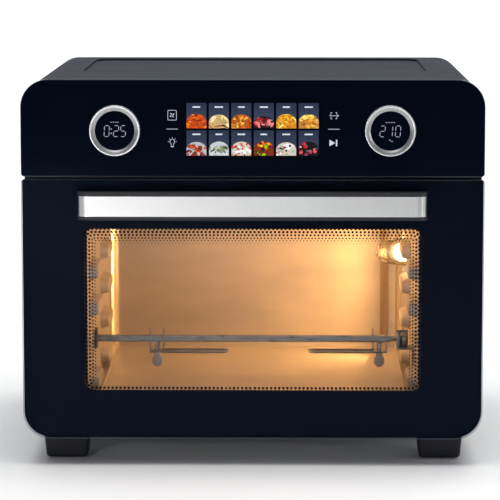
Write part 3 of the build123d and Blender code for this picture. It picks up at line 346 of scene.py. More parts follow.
def prism(mesh, outline, y_front, y_back, tint=(1, 1, 1), hole=None):
    """A closed upright prism from an (x, z) outline; a hole has as many points as its outline."""
    layer = mesh.verts.layers.float_color["tint"]
    tint = linear(tint)
    loops = []
    for points in [outline] + ([hole] if hole else []):
        for y in (y_front, y_back):
            ring = [mesh.verts.new((x, y, z)) for x, z in points]
            for vertex in ring:
                vertex[layer] = (*tint, 1)
            loops.append(ring)
    count = len(outline)
    for ring_a, ring_b in zip(loops[0::2], loops[1::2]):
        for i in range(count):
            j = (i + 1) % count
            mesh.faces.new((ring_a[i], ring_a[j], ring_b[j], ring_b[i]))
    if hole:
        for side in (0, 1):
            outer, inner = loops[side], loops[side + 2]
            for i in range(count):
                j = (i + 1) % count
                mesh.faces.new((outer[i], outer[j], inner[j], inner[i]))
    else:
        mesh.faces.new(loops[0])
        mesh.faces.new(loops[1])


def rounded(x0, x1, z0, z1, r_low, r_high, steps=10):
    """Points round an upright rounded rectangle, the same number for any sizes."""
    points = []
    corners = [(x1 - r_low, z0 + r_low, r_low, -90), (x1 - r_high, z1 - r_high, r_high, 0),
               (x0 + r_high, z1 - r_high, r_high, 90), (x0 + r_low, z0 + r_low, r_low, 180)]
    for cx, cz, r, start in corners:
        for step in range(steps + 1):
            angle = math.radians(start + 90 * step / steps)
            points.append((cx + r * math.cos(angle), cz + r * math.sin(angle)))
    return points


def oval(cx, cz, rx, rz, count=24, turn=0.0):
    """Points round an ellipse, turned in its own plane."""
    points = []
    for step in range(count):
        angle = 2 * math.pi * step / count
        x, z = rx * math.cos(angle), rz * math.sin(angle)
        points.append((cx + x * math.cos(turn) - z * math.sin(turn),
                       cz + x * math.sin(turn) + z * math.cos(turn)))
    return points


def polar(r, degrees):
    """The point at a distance and a bearing from the origin."""
    return r * math.cos(math.radians(degrees)), r * math.sin(math.radians(degrees))


def bar(x0, z0, x1, z1, width):
    """The outline of a straight stroke."""
    along = Vector((x1 - x0, z1 - z0)).normalized() * width / 2
    side = Vector((-along.y, along.x))
    return [(x0 - along.x - side.x, z0 - along.y - side.y), (x1 + along.x - side.x, z1 + along.y - side.y),
            (x1 + along.x + side.x, z1 + along.y + side.y), (x0 - along.x + side.x, z0 - along.y + side.y)]


# ======================= door glass print =======================

# A print's distance from its glass and its thickness.
PRINT_GAP = 0.00002
PRINT_THICK = 0.00006
# The door's enamel: how far it stays inside the glass, and its corner radii.
PRINT_MARGIN = 0.0006
PRINT_R_LOW = 0.0239
PRINT_R_HIGH = 0.0024
# The clear window in it: half width, lowest and highest place, corner radius.
WINDOW_X = 0.1508
WINDOW_LOW = 0.0672
WINDOW_HIGH = 0.2132
WINDOW_R = 0.009
TIGHTEST_BEND = 0.0012
DOT_SIDES = 12
ROW_SLACK = 0.0005
# One row of dots after another, inwards: how deep it lies, its pitch and its dot radius in millimetres, and
# how far round it goes.
DOT_ROWS = [(0.0, 3.65, 1.20, "all"), (2.8, 3.62, 1.16, "all"), (5.6, 3.43, 1.00, "sides"),
            (8.3, 3.02, 0.78, "sides"), (10.6, 3.03, 0.57, "sides"), (12.9, 3.03, 0.36, "top")]


def inset_point(depth, run):
    """A point on the window's outline moved inwards by depth, run metres along it from the top centre."""
    r = max(WINDOW_R - depth, TIGHTEST_BEND)
    half = WINDOW_X - depth
    high, low = WINDOW_HIGH - depth, WINDOW_LOW + depth
    top = half - r
    bend = math.pi * r / 2
    side = high - low - 2 * r
    if run < top:
        return run, high
    run -= top
    if run < bend:
        return half - r + r * math.sin(run / r), high - r + r * math.cos(run / r)
    run -= bend
    if run < side:
        return half, high - r - run
    run -= side
    if run < bend:
        return half - r + r * math.cos(run / r), low + r - r * math.sin(run / r)
    run -= bend
    return half - r - run, low


def build_door_print():
    """Black enamel on the back of the door glass, ending in a border of dots that shrink inwards."""
    back = glass_high.y - PRINT_GAP
    mesh = start_mesh()
    outer = rounded(glass_low.x + PRINT_MARGIN, glass_high.x - PRINT_MARGIN,
                    glass_low.z + PRINT_MARGIN, glass_high.z - PRINT_MARGIN, PRINT_R_LOW, PRINT_R_HIGH)
    inner = rounded(-WINDOW_X, WINDOW_X, WINDOW_LOW, WINDOW_HIGH, WINDOW_R * 0.6, WINDOW_R)
    prism(mesh, outer, back - PRINT_THICK, back, hole=inner)
    for row, (depth_mm, pitch_mm, radius_mm, reach) in enumerate(DOT_ROWS):
        depth = depth_mm * MM
        steps = int((2 * WINDOW_X + WINDOW_HIGH - WINDOW_LOW) / (pitch_mm * MM))
        for step in range(steps):
            x, z = inset_point(depth, (step + 0.5 * (row % 2)) * pitch_mm * MM)
            if x < 0 or (reach == "top" and z < WINDOW_HIGH - depth - ROW_SLACK):
                continue
            if reach == "sides" and z < WINDOW_LOW + depth + ROW_SLACK:
                continue
            for side in ((-1, 1) if x > 0 else (1,)):
                prism(mesh, oval(side * x, z, radius_mm * MM, radius_mm * MM, DOT_SIDES),
                      back - PRINT_THICK * 0.8, back - PRINT_THICK * 0.1)
    return finish_piece("door_glass_print", mesh, enamel_print, "door")


build_door_print()


# ======================= dials =======================

DIAL_STEPS = 288
# The knurl is cut into these points of the section.
KNURL_ROWS = (5, 6)
KNURL_DEPTH = 0.00028
# The inner bevel, painted darker as shade, is what lies inside this share of the radius and within this depth
# of the front.
BEVEL_SHARE = 0.925
BEVEL_DEPTH = 0.002


def build_dial_ring(node, body):
    """A turned metal ring with a knurled skirt and a dished inner bevel painted darker as shade."""
    low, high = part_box(node)
    centre = (low + high) / 2
    radius = (high.x - low.x) / 2
    front, back = low.y, high.y
    # Round the section: share of the outer radius, and place along the axis.
    profile = [
        (0.78, back), (0.844, back), (0.844, FRONT - 0.0004), (0.972, FRONT - 0.0004),
        (0.990, FRONT - 0.0008), (0.996, FRONT - 0.0012), (0.996, front + 0.0016), (0.975, front + 0.0015),
        (0.994, front + 0.0012), (0.9985, front + 0.0010), (0.997, front + 0.0005), (0.985, front + 0.00012),
        (0.970, front), (0.930, front + 0.00006), (0.918, front + 0.0002), (0.852, front + 0.0008),
        (0.842, front + 0.0009), (0.786, front + 0.0018), (0.776, front + 0.0019), (0.780, front + 0.0021),
        (0.806, front + 0.0021), (0.812, front + 0.0040), (0.778, front + 0.0047),
    ]
    mesh = start_mesh()
    rings = []
    for index, (share, y) in enumerate(profile):
        ring = []
        for step in range(DIAL_STEPS):
            angle = 2 * math.pi * step / DIAL_STEPS
            r = radius * share
            if index in KNURL_ROWS and step % 2:
                r -= KNURL_DEPTH
            ring.append(mesh.verts.new((centre.x + r * math.cos(angle), y, centre.z + r * math.sin(angle))))
        rings.append(ring)
    for index, (ring_a, ring_b) in enumerate(zip(rings, rings[1:] + rings[:1])):
        share, y = profile[index]
        on_shaded_bevel = share < BEVEL_SHARE and y < front + BEVEL_DEPTH
        for step in range(DIAL_STEPS):
            after = (step + 1) % DIAL_STEPS
            face = mesh.faces.new((ring_a[step], ring_a[after], ring_b[after], ring_b[step]))
            # Faces on the inner bevel take the darker metal, a painted shade.
            face.material_index = int(on_shaded_bevel)
    ring = finish_piece(node + "_turned", mesh, dial_metal, body, smooth=True)
    ring.data.materials.append(dial_bevel_painted_shade)
    keep_edges_sharp(ring)
    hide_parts(node)


for node, body in DIALS:
    build_dial_ring(node, body)

SEGMENTS = {"0": "abcdef", "1": "bc", "2": "abged", "5": "afgcd"}
DIGIT_HEIGHT = 0.0096
DIGIT_WIDTH = 0.0043
DIGIT_DROP = 0.0004
DIGIT_STROKE = 0.00046
DIGIT_GAP = 0.0009
DIGIT_LEAN = 0.06
DIGIT_INK = (0.76, 0.75, 0.84)
# Each dial's digits with their left edges' offsets from its centre, and the width of its caption.
READOUTS = [(((-0.0094, "0"), (-0.0012, "2"), (0.0050, "5")), 0.0078),
            (((-0.0094, "2"), (-0.0028, "1"), (0.0042, "0")), 0.0086)]
COLON_X = -0.0030
COLON_HEIGHTS = (0.0028, 0.0066)
POINT_R = 0.00055
POINT_SIDES = 10
CAPTION_INK = (0.66, 0.65, 0.72)
CAPTION_BARS = 4
CAPTION_RISE = 0.0126
CAPTION_STROKE = 0.00055
CAPTION_START, CAPTION_END = 0.0005, 0.0006
# The plain mark under the right-hand number: a point, and a short bar to its right.
UNIT_POINT = (-0.0006, -0.0029)
UNIT_BAR = (0.0005, 0.0019, -0.0040)
UNIT_STROKE = 0.0005


def digit(mesh, char, x, z, y):
    """A seven-segment digit whose lower left corner is at (x, z)."""
    mid = z + DIGIT_HEIGHT / 2
    top = z + DIGIT_HEIGHT
    right = x + DIGIT_WIDTH
    runs = {
        "a": (x, top, right, top), "b": (right, top, right, mid), "c": (right, mid, right, z),
        "d": (x, z, right, z), "e": (x, mid, x, z), "f": (x, top, x, mid), "g": (x, mid, right, mid),
    }
    for name in SEGMENTS[char]:
        x0, z0, x1, z1 = runs[name]
        along = Vector((x1 - x0, z1 - z0)).normalized() * DIGIT_GAP
        outline = bar(x0 + along.x, z0 + along.y, x1 - along.x, z1 - along.y, DIGIT_STROKE)
        prism(mesh, [(px + DIGIT_LEAN * (pz - z), pz) for px, pz in outline], y - PRINT_THICK, y, DIGIT_INK)


def build_dial_readouts():
    """Seven-segment numbers on the fixed round displays, with plain bars where a caption would be."""
    low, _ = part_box("dial_lenses")
    y = low.y - PRINT_GAP
    mesh = start_mesh()
    left, right = [(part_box(node)[0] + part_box(node)[1]) / 2 for node, _ in DIALS]
    base = left.z - DIGIT_HEIGHT / 2 - DIGIT_DROP

    def point(x, z, tint):
        prism(mesh, oval(x, z, POINT_R, POINT_R, POINT_SIDES), y - PRINT_THICK, y, tint)

    for centre, (digits, caption) in zip((left, right), READOUTS):
        for offset, char in digits:
            digit(mesh, char, centre.x + offset, base, y)
        share = caption / CAPTION_BARS
        height = base + CAPTION_RISE
        for step in range(CAPTION_BARS):
            start = centre.x - caption / 2 + step * share
            dash = bar(start + CAPTION_START, height, start + share - CAPTION_END, height, CAPTION_STROKE)
            prism(mesh, dash, y - PRINT_THICK, y, CAPTION_INK)
    for rise in COLON_HEIGHTS:
        point(left.x + COLON_X, base + rise, DIGIT_INK)
    point(right.x + UNIT_POINT[0], base + UNIT_POINT[1], CAPTION_INK)
    unit_start, unit_end, unit_z = UNIT_BAR
    dash = bar(right.x + unit_start, base + unit_z, right.x + unit_end, base + unit_z, UNIT_STROKE)
    prism(mesh, dash, y - PRINT_THICK, y, CAPTION_INK)
    return finish_piece("dial_readouts", mesh, lit_print, "chassis")


build_dial_readouts()


# ======================= cavity details =======================

# The thumb screws' ribs: the head's half height, how many there are, how far they reach from its middle,
# their width, and the share of the head's height they cover.
THUMB_HEAD = 0.0058
RIB_COUNT = 7
RIB_REACH = 0.0020
RIB_WIDTH = 0.0006
RIB_SHARE = 0.93
# The corner beads: the radius of their face, how far outside the walls its axis lies, how deep they are let
# into the walls, and the part of the circle that shows.
BEAD_R = 0.0378
BEAD_INSET = 0.0203
BEAD_SUNK = 0.0006
BEAD_ANGLES = (38, 52)
BEAD_STEPS = 12
# The darker strip down the rear wall, a painted shade below the lamp: its middle, half width, distance from
# floor and ceiling, corners, and how far its front and back are before the rear wall.
SHADE_STRIP_X = 0.1284
SHADE_STRIP_HALF = 0.0036
SHADE_STRIP_ENDS = 0.012
SHADE_STRIP_R = 0.001
SHADE_STRIP_R_STEPS = 3
SHADE_STRIP_FRONT, SHADE_STRIP_BACK = 0.0034, 0.0029


def build_thumb_ribs(node, body):
    """Upright gripping ribs, the same on both flats of a thumb screw's oval head."""
    low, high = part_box(node)
    centre = (low + high) / 2
    half_width = (high.x - low.x) / 2
    head_z = low.z + THUMB_HEAD
    mesh = start_mesh()
    for rib in range(RIB_COUNT):
        x = (rib - (RIB_COUNT - 1) / 2) * 2 * half_width / (RIB_COUNT + 1)
        rise = RIB_SHARE * THUMB_HEAD * math.sqrt(1 - (x / half_width) ** 2)
        prism(mesh, bar(centre.x + x, head_z - rise, centre.x + x, head_z + rise, RIB_WIDTH),
              centre.y - RIB_REACH, centre.y + RIB_REACH)
    return finish_piece(node + "_ribs", mesh, satin_steel, body)


for node, body in (("left_thumb_screw", "thumb_left"), ("right_thumb_screw", "thumb_right")):
    build_thumb_ribs(node, body)


def build_corner_beads():
    """Polished, slightly rounded strips that close the two rear corners of the cavity."""
    mesh = start_mesh()
    heights = (cavity_low.z, cavity_high.z)
    first, last = BEAD_ANGLES
    for side in (-1, 1):
        corner = Vector((side * (cavity_high.x + BEAD_SUNK), REAR_FACE + BEAD_SUNK))
        middle = Vector((side * (cavity_high.x + BEAD_INSET), REAR_FACE + BEAD_INSET))
        face = []
        for step in range(BEAD_STEPS + 1):
            angle = math.radians(first + (last - first) * step / BEAD_STEPS)
            face.append(middle + BEAD_R * Vector((-side * math.sin(angle), -math.cos(angle))))
        outline = [corner, Vector((corner.x, face[0].y)), *face, Vector((face[-1].x, corner.y))]
        low, high = [[mesh.verts.new((*point, z)) for point in outline] for z in heights]
        for i, j in zip(range(len(outline)), [*range(1, len(outline)), 0]):
            mesh.faces.new((low[i], low[j], high[j], high[i]))
        mesh.faces.new(low)
        mesh.faces.new(high)
    beads = finish_piece("corner_beads", mesh, polished_bead, "chassis", smooth=True)
    keep_edges_sharp(beads)


build_corner_beads()


def build_rear_shade_strip():
    """A darker strip down the rear wall over its pressed bead, below the lamp: painted shade."""
    outline = rounded(SHADE_STRIP_X - SHADE_STRIP_HALF, SHADE_STRIP_X + SHADE_STRIP_HALF, cavity_low.z + SHADE_STRIP_ENDS,
                      cavity_high.z - SHADE_STRIP_ENDS, SHADE_STRIP_R, SHADE_STRIP_R, SHADE_STRIP_R_STEPS)
    mesh = start_mesh()
    prism(mesh, outline, REAR_FACE - SHADE_STRIP_FRONT, REAR_FACE - SHADE_STRIP_BACK)
    return finish_piece("rear_shade_strip", mesh, rear_strip_shade_steel, "chassis")


build_rear_shade_strip()


# ======================= touch icons =======================

ICON_INK = (0.82, 0.83, 0.88)
ICON_GAP = 0.00003
# Where the icons and the two lines between them lie, in metres.
FAN_ICON = (-0.0709, 0.3145)
BULB_ICON = (-0.0708, 0.2912)
TURN_ICON = (0.0716, 0.3142)
PLAY_ICON = (0.0713, 0.2901)
LINES = [(-0.0709, 0.3023), (0.0716, 0.3023)]


def curve(r, start, turn, pieces, width):
    """Strokes along part of a circle."""
    bends = [polar(r, start + turn * step / pieces) for step in range(pieces + 1)]
    return [(*a, *b, width) for a, b in zip(bends, bends[1:])]


# The rest is in millimetres from an icon's centre. A stroke is x0, z0, x1, z1 and its width.
LINE_STROKES = [(-4.8, 0, 4.8, 0, 0.42)]
# The fan's frame: half width, half height and corner radius.
FAN_FRAME = (4.0, 4.5, 1.0)
FAN_FRAME_LINE = 0.4
FAN_FRAME_STEPS = 5
FAN_BEARINGS = (30, 120, 210, 300)
BLADE_PLACE = 1.4
BLADE_LENGTH, BLADE_WIDTH = 1.2, 0.36
BLADE_PITCH = 0.5
BLADE_SIDES = 12
BULB_STROKES = [
    *curve(2.1, -55, 290, 12, 0.4),
    (-1.0, -2.0, -1.0, -3.4, 0.4), (1.0, -2.0, 1.0, -3.4, 0.4), (-0.9, -4.4, 0.9, -4.4, 0.8),
    *[(*polar(3.0, bearing), *polar(3.7, bearing), 0.36) for bearing in (0, 45, 90, 135, 180)],
]
TURN_STROKES = [
    (-1.6, 2.7, -2.6, 2.7, 0.4), (-1.6, -2.7, -2.6, -2.7, 0.4),
    (-2.6, 2.7, -2.6, 1.0, 0.4), (-2.6, -2.7, -2.6, -1.0, 0.4),
    (1.6, 2.7, 2.6, 2.7, 0.4), (1.6, -2.7, 2.6, -2.7, 0.4),
    (2.6, 2.7, 2.6, 1.0, 0.4), (2.6, -2.7, 2.6, -1.0, 0.4),
    (-3.8, 0, 3.8, 0, 0.4),
]
TURN_ARROW = [(3.2, -0.9), (4.4, 0), (3.2, 0.9)]
PLAY_ARROW = [(-3.5, -2.9), (1.6, 0), (-3.5, 2.9)]
PLAY_STROKES = [(2.8, -2.2, 2.8, 2.2, 1.3)]


def build_touch_icons():
    """Lit touch marks on the fascia: fan, lamp, turn and play-pause, with a line between each pair."""
    y = FRONT - ICON_GAP
    mesh = start_mesh()

    def mark(outline, hole=None):
        prism(mesh, outline, y - PRINT_THICK, y, ICON_INK, hole)

    def shape(icon, points):
        mark([(icon[0] + x * MM, icon[1] + z * MM) for x, z in points])

    def strokes(icon, runs):
        for x0, z0, x1, z1, width in runs:
            mark(bar(icon[0] + x0 * MM, icon[1] + z0 * MM, icon[0] + x1 * MM, icon[1] + z1 * MM, width * MM))

    def frame_outline(inset):
        half_x, half_z, r = [(size - inset) * MM for size in FAN_FRAME]
        x, z = FAN_ICON
        return rounded(x - half_x, x + half_x, z - half_z, z + half_z, r, r, FAN_FRAME_STEPS)

    mark(frame_outline(0), hole=frame_outline(FAN_FRAME_LINE))
    for bearing in FAN_BEARINGS:
        x, z = polar(BLADE_PLACE * MM, bearing)
        mark(oval(FAN_ICON[0] + x, FAN_ICON[1] + z, BLADE_LENGTH * MM, BLADE_WIDTH * MM, BLADE_SIDES,
                  math.radians(bearing) + BLADE_PITCH))
    for line in LINES:
        strokes(line, LINE_STROKES)
    strokes(BULB_ICON, BULB_STROKES)
    strokes(TURN_ICON, TURN_STROKES)
    shape(TURN_ICON, TURN_ARROW)
    shape(PLAY_ICON, PLAY_ARROW)
    strokes(PLAY_ICON, PLAY_STROKES)
    return finish_piece("touch_icons", mesh, lit_print, "chassis")


build_touch_icons()


# ======================= picture tiles =======================

TILE_W = 0.0176
TILE_H = 0.0224
TILE_R = 0.0004
PITCH_X = 0.0198
PITCH_Z = 0.0241

# Each picture: the plate or heap colour, how wide and high it stands, then layers of pieces as
# (how many, colours, half length and half width in millimetres, lowest and highest place within the heap).
PICTURES = [
    [dict(heap=(0.75, 0.27, 0.03), wide=1.0, high=0.86, layers=[
        (46, [(0.95, 0.42, 0.04), (0.80, 0.28, 0.03), (0.98, 0.55, 0.12), (0.62, 0.17, 0.02)],
         1.9, 0.8, 0, 1)]),
     dict(heap=(0.80, 0.66, 0.42), wide=1.0, high=0.82, layers=[
         (5, [(0.93, 0.82, 0.58), (0.88, 0.74, 0.48), (0.96, 0.88, 0.68)], 4.6, 2.6, 0.15, 0.75),
         (6, [(0.45, 0.17, 0.05), (0.58, 0.25, 0.08)], 4.4, 0.5, 0, 0.25)]),
     dict(heap=(0.70, 0.34, 0.08), wide=1.0, high=0.84, layers=[
         (26, [(0.93, 0.62, 0.20), (0.90, 0.50, 0.12), (0.80, 0.30, 0.06)], 1.6, 1.1, 0, 0.95),
         (12, [(0.62, 0.07, 0.03), (0.18, 0.28, 0.04), (0.95, 0.75, 0.35)], 0.8, 0.7, 0.05, 0.85)]),
     dict(heap=(0.10, 0.035, 0.03), wide=0.98, high=0.72, layers=[
         (12, [(0.75, 0.18, 0.19), (0.62, 0.08, 0.10), (0.88, 0.40, 0.40)], 3.0, 1.1, 0.15, 0.9),
         (9, [(0.93, 0.60, 0.58), (0.12, 0.16, 0.07), (0.85, 0.80, 0.80)], 1.7, 0.35, 0.05, 0.85)]),
     dict(heap=(0.86, 0.52, 0.10), wide=1.0, high=0.86, layers=[
         (44, [(0.98, 0.74, 0.20), (0.93, 0.60, 0.12), (1.0, 0.84, 0.38), (0.80, 0.44, 0.07)],
          2.6, 0.5, 0, 1)]),
     dict(heap=(0.80, 0.50, 0.16), wide=1.0, high=0.84, layers=[
         (18, [(0.95, 0.68, 0.30), (0.86, 0.54, 0.18), (0.98, 0.78, 0.42)], 2.2, 1.6, 0, 0.9),
         (12, [(0.70, 0.36, 0.10), (0.42, 0.36, 0.10)], 0.8, 0.5, 0, 0.8)])],
    [dict(heap=(0.72, 0.72, 0.74), wide=1.0, high=0.82, layers=[
        (26, [(0.48, 0.10, 0.03), (0.66, 0.20, 0.05), (0.34, 0.05, 0.02), (0.80, 0.34, 0.10)],
         1.9, 1.1, 0, 0.75),
        (6, [(0.85, 0.12, 0.06), (0.20, 0.24, 0.05)], 1.0, 0.6, 0, 0.5)]),
     dict(heap=(0.80, 0.82, 0.83), wide=0.98, high=0.84, layers=[
         (12, [(0.50, 0.60, 0.36), (0.62, 0.66, 0.50), (0.38, 0.44, 0.30)], 2.4, 0.9, 0.15, 0.65),
         (10, [(0.22, 0.36, 0.08), (0.75, 0.74, 0.58), (0.30, 0.34, 0.22)], 1.0, 0.5, 0.15, 0.7)]),
     dict(heap=(0.84, 0.80, 0.74), wide=0.98, high=0.84, layers=[
         (12, [(0.94, 0.92, 0.88), (0.88, 0.84, 0.76)], 2.6, 1.0, 0.05, 0.7),
         (12, [(0.72, 0.03, 0.03), (0.86, 0.14, 0.08)], 1.2, 0.8, 0.45, 0.9),
         (6, [(0.90, 0.50, 0.12), (0.62, 0.10, 0.06)], 1.1, 0.7, 0, 0.25)]),
     dict(heap=(0.50, 0.20, 0.04), wide=1.0, high=0.86, layers=[
         (8, [(0.95, 0.42, 0.03), (0.98, 0.62, 0.06)], 1.9, 1.5, 0.3, 1),
         (8, [(0.42, 0.62, 0.03), (0.10, 0.30, 0.02), (0.30, 0.52, 0.04)], 1.7, 1.3, 0, 0.7),
         (7, [(0.72, 0.02, 0.03), (0.42, 0.02, 0.16), (0.35, 0.06, 0.03)], 1.4, 1.2, 0, 0.9)]),
     dict(heap=(0.82, 0.78, 0.72), wide=1.0, high=0.80, layers=[
         (12, [(0.95, 0.94, 0.92), (0.88, 0.86, 0.82)], 2.4, 1.2, 0, 0.8),
         (7, [(0.05, 0.07, 0.18), (0.10, 0.12, 0.26)], 0.95, 0.95, 0.3, 0.85),
         (7, [(0.66, 0.36, 0.12), (0.80, 0.30, 0.10)], 1.0, 0.5, 0.1, 0.9)]),
     dict(heap=(0.10, 0.06, 0.07), wide=1.0, high=0.84, layers=[
         (9, [(0.70, 0.10, 0.12), (0.80, 0.26, 0.28), (0.52, 0.04, 0.06)], 1.9, 1.6, 0, 0.9),
         (10, [(0.92, 0.55, 0.58), (0.30, 0.32, 0.38), (0.86, 0.70, 0.74)], 1.3, 0.6, 0, 0.9)])],
]
TILE_TOP = (0.15, 0.19, 0.27)
TILE_BOTTOM = (0.25, 0.29, 0.38)
TILE_THICK = 0.00003
# The label: its colour, its bars, the least value and the spread of its half width, its depth below the top,
# and the thickness of a bar and the gap at its ends.
LABEL_INK = (0.86, 0.88, 0.93)
LABEL_BARS = 3
LABEL_HALF, LABEL_SPREAD = 0.0026, 0.0011
LABEL_DROP = 0.0036
LABEL_STROKE = 0.0013
LABEL_GAP = 0.0004
# The heap: how much of the tile it fills, how high its rim stands, and how far before the screen it lies.
HEAP_SHARE = 0.66
HEAP_RIM = 0.45
HEAP_FRONT, HEAP_BACK = 0.00005, 0.00002
# Its pieces: each lies a step further out than the one before.
PIECE_STEP = 0.0000012
PIECE_THICK = 0.0000010
PIECE_SIDES = 9
PIECE_TURN = 1.2
PIECE_REACH = 0.95
# The least value and the spread of a piece's size and of its shade.
PIECE_SIZE = (0.75, 0.5)
PIECE_SHADE = (0.7, 0.6)


def clip_to_tile(points, left, right, bottom, heap_top):
    """Keeps an outline inside its tile and under its heap's rounded top."""
    middle = (left + right) / 2
    half = (right - left) / 2
    kept = []
    for x, z in points:
        x = min(max(x, left), right)
        share = min(1.0, abs(x - middle) / half)
        roof = bottom + (heap_top - bottom) * (HEAP_RIM + (1 - HEAP_RIM) * math.sqrt(1 - share ** 2))
        kept.append((x, min(max(z, bottom), roof)))
    return kept


def draw_ground(mesh, left, right, bottom, top, face):
    """A tile's slate ground, darker at its top."""
    layer = mesh.verts.layers.float_color["tint"]
    before = len(mesh.verts)
    prism(mesh, rounded(left, right, bottom, top, TILE_R, TILE_R, 2), face - TILE_THICK, face)
    mesh.verts.ensure_lookup_table()
    for vertex in mesh.verts[before:]:
        share = (vertex.co.z - bottom) / TILE_H
        tint = [a * share + b * (1 - share) for a, b in zip(TILE_TOP, TILE_BOTTOM)]
        vertex[layer] = (*linear(tint), 1)


def draw_label(mesh, middle, top, face):
    """Plain bars where a tile's words would be."""
    half = LABEL_HALF + LABEL_SPREAD * seed.random()
    share = half * 2 / LABEL_BARS
    z = top - LABEL_DROP
    for step in range(LABEL_BARS):
        start = middle - half + step * share
        dash = bar(start + LABEL_GAP, z, start + share - LABEL_GAP, z, LABEL_STROKE)
        prism(mesh, dash, face - HEAP_FRONT, face - HEAP_BACK, LABEL_INK)


def draw_heap(mesh, picture, left, right, bottom, face):
    """A heap of food pieces at the foot of a tile."""
    middle = (left + right) / 2
    half = TILE_W / 2 * picture["wide"]
    heap_top = bottom + TILE_H * HEAP_SHARE * picture["high"]
    height = heap_top - bottom
    heap = []
    for degrees in range(0, 181, 10):
        x, z = polar(1, degrees)
        heap.append((middle + half * x, bottom + height * (HEAP_RIM + (1 - HEAP_RIM) * z)))
    heap += [(middle - half, bottom), (middle + half, bottom)]
    prism(mesh, heap, face - HEAP_FRONT, face - HEAP_BACK, picture["heap"])
    depth = face - HEAP_FRONT
    for count, colours, length, width, low, high in picture["layers"]:
        for _ in range(count):
            depth -= PIECE_STEP
            x = middle + half * (2 * seed.random() - 1) * PIECE_REACH
            z = bottom + height * (low + (high - low) * seed.random())
            size = (PIECE_SIZE[0] + PIECE_SIZE[1] * seed.random()) * MM
            shade = PIECE_SHADE[0] + PIECE_SHADE[1] * seed.random()
            colour = tuple(min(1.0, c * shade) for c in seed.choice(colours))
            turn = seed.uniform(-PIECE_TURN, PIECE_TURN)
            points = oval(x, z, length * size, width * size, PIECE_SIDES, turn)
            outline = clip_to_tile(points, left, right, bottom, heap_top)
            prism(mesh, outline, depth - PIECE_THICK, depth, colour)


def build_screen_pictures():
    """Twelve lit programme tiles: a slate ground, a plain label and a heap of food pieces."""
    mesh = start_mesh()
    face = screen_low.y
    centre = (screen_low + screen_high) / 2
    for row, pictures in enumerate(PICTURES):
        for column, picture in enumerate(pictures):
            left = centre.x + (column - 2.5) * PITCH_X - TILE_W / 2
            right = left + TILE_W
            bottom = centre.z + (0.5 - row) * PITCH_Z - TILE_H / 2
            top = bottom + TILE_H
            draw_ground(mesh, left, right, bottom, top, face)
            draw_label(mesh, (left + right) / 2, top, face)
            draw_heap(mesh, picture, left, right, bottom, face)
    return finish_piece("screen_pictures", mesh, lit_pictures, "chassis")


build_screen_pictures()


# ======================= stage, lights and camera =======================

FLOOR_HALF = 6.0
FLOOR_FRONT = -8.0
FLOOR_DROP = 0.0004
KERB_START = 3.0
KERB_R = 0.5
KERB_STEPS = 12


def build_stage():
    """A pale floor that curves up into a low kerb well behind the oven."""
    mesh = bmesh.new()
    profile = [(FLOOR_FRONT, 0.0), (KERB_START, 0.0)]
    for step in range(1, KERB_STEPS + 1):
        x, z = polar(KERB_R, 90 * step / KERB_STEPS)
        profile.append((KERB_START + z, KERB_R - x))
    rows = [[mesh.verts.new((x, y, z - FLOOR_DROP)) for x in (-FLOOR_HALF, FLOOR_HALF)] for y, z in profile]
    for row_a, row_b in zip(rows, rows[1:]):
        mesh.faces.new((row_a[0], row_a[1], row_b[1], row_b[0]))
    data = bpy.data.meshes.new("stage")
    mesh.to_mesh(data)
    mesh.free()
    for polygon in data.polygons:
        polygon.use_smooth = True
    data.materials.append(surface("stage_paper", (0.80, 0.80, 0.80), (0.84, 0.84, 0.84), (0.7, 0.9), scale=2))
    new_object("stage", data)


def area_light(name, place, target, size, power, colour=(1, 1, 1)):
    """A rectangular light aimed at a target."""
    light = bpy.data.lights.new(name, "AREA")
    light.shape = "RECTANGLE"
    light.size, light.size_y = size
    light.energy = power
    light.color = colour
    obj = new_object(name, light)
    obj.location = place
    obj.rotation_euler = (Vector(target) - Vector(place)).to_track_quat("-Z", "Y").to_euler()


build_stage()

LAMP_AMBER = (1.0, 0.50, 0.155)
HEAT_AMBER = (1.0, 0.51, 0.25)
LAMP_OFFSET = Vector((-0.006, -0.012, 0.002))
BEAM_FORWARD = 0.03
lamp_middle = (lamp_low + lamp_high) / 2
glow = Vector((lamp_low.x, lamp_middle.y, lamp_middle.z)) + LAMP_OFFSET
beam = Vector((glow.x, glow.y - BEAM_FORWARD, (cavity_low.z + cavity_high.z) / 2))
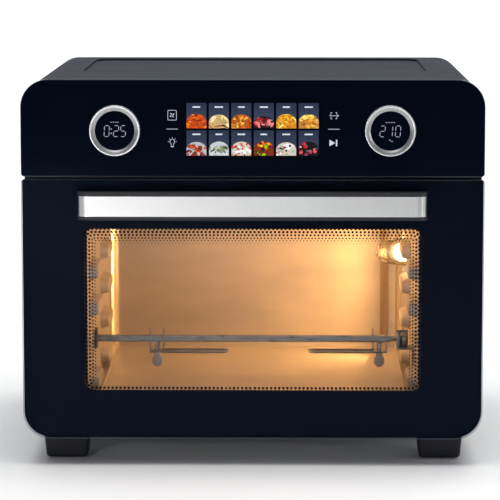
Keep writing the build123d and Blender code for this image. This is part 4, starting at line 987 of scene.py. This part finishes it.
# Name, place, target, width and height, power and colour: the studio's lights, then those inside the cavity.
LIGHTS = [
    ("overhead", (0.1, -0.2, 2.1), (0, 0, 0.1), (2.4, 1.8), 56),
    ("backdrop_wash", (0, 2.2, 2.4), (0, 3.4, 0.0), (4.0, 0.8), 90),
    ("floor_pool", (-0.70, -2.0, 0.45), (-0.70, -2.0, 0), (0.5, 0.6), 20),
    ("right_card", (1.7, -0.9, 0.7), (0, 0, 0.2), (0.3, 1.0), 5),
    ("lamp_to_rear", glow, (-0.06, cavity_high.y, glow.z - 0.03), (0.03, 0.03), 0.015, LAMP_AMBER),
    ("lamp_to_left", beam, (cavity_low.x, beam.y + 0.03, beam.z), (0.02, 0.16), 0.40, LAMP_AMBER),
    ("lamp_to_right", (beam.x - 0.03, beam.y, beam.z), (cavity_high.x, beam.y + 0.01, beam.z),
     (0.02, 0.12), 0.12, LAMP_AMBER),
    ("heater_glow", (0, 0.01, cavity_high.z - 0.020), (0, 0.012, 0), (0.26, 0.20), 0.085, HEAT_AMBER),
    ("front_bounce", (0.03, cavity_low.y + 0.02, cavity_high.z - 0.012), (0, 0.1, 0.06),
     (0.24, 0.02), 0.14, HEAT_AMBER),
]
for light in LIGHTS:
    area_light(*light)

WORLD_COLOUR = (0.92, 0.95, 1.0, 1)
WORLD_STRENGTH = 0.22
world = bpy.data.worlds.new("studio")
bpy.context.scene.world = world
world.use_nodes = True
set_sockets(world.node_tree.nodes["Background"], {"Color": WORLD_COLOUR, "Strength": WORLD_STRENGTH})

# The camera, as fitted to the photograph's perspective. CAMERA_BACK is its distance from the front.
CAMERA_X = 0.0313
CAMERA_BACK = 2.3623
CAMERA_HEIGHT = 0.4987
CAMERA_PITCH = 0.1279
CAMERA_YAW = 0.0142
CAMERA_SENSOR = 36.0
CAMERA_LENS = 193.46
camera_data = bpy.data.cameras.new("camera")
camera_data.sensor_width = CAMERA_SENSOR
camera_data.lens = CAMERA_LENS
camera = new_object("camera", camera_data)
camera.location = (CAMERA_X, FRONT - CAMERA_BACK, CAMERA_HEIGHT)
camera.rotation_euler = (math.pi / 2 - CAMERA_PITCH, 0, CAMERA_YAW)
bpy.context.scene.camera = camera
bpy.context.scene.view_settings.view_transform = "Standard"
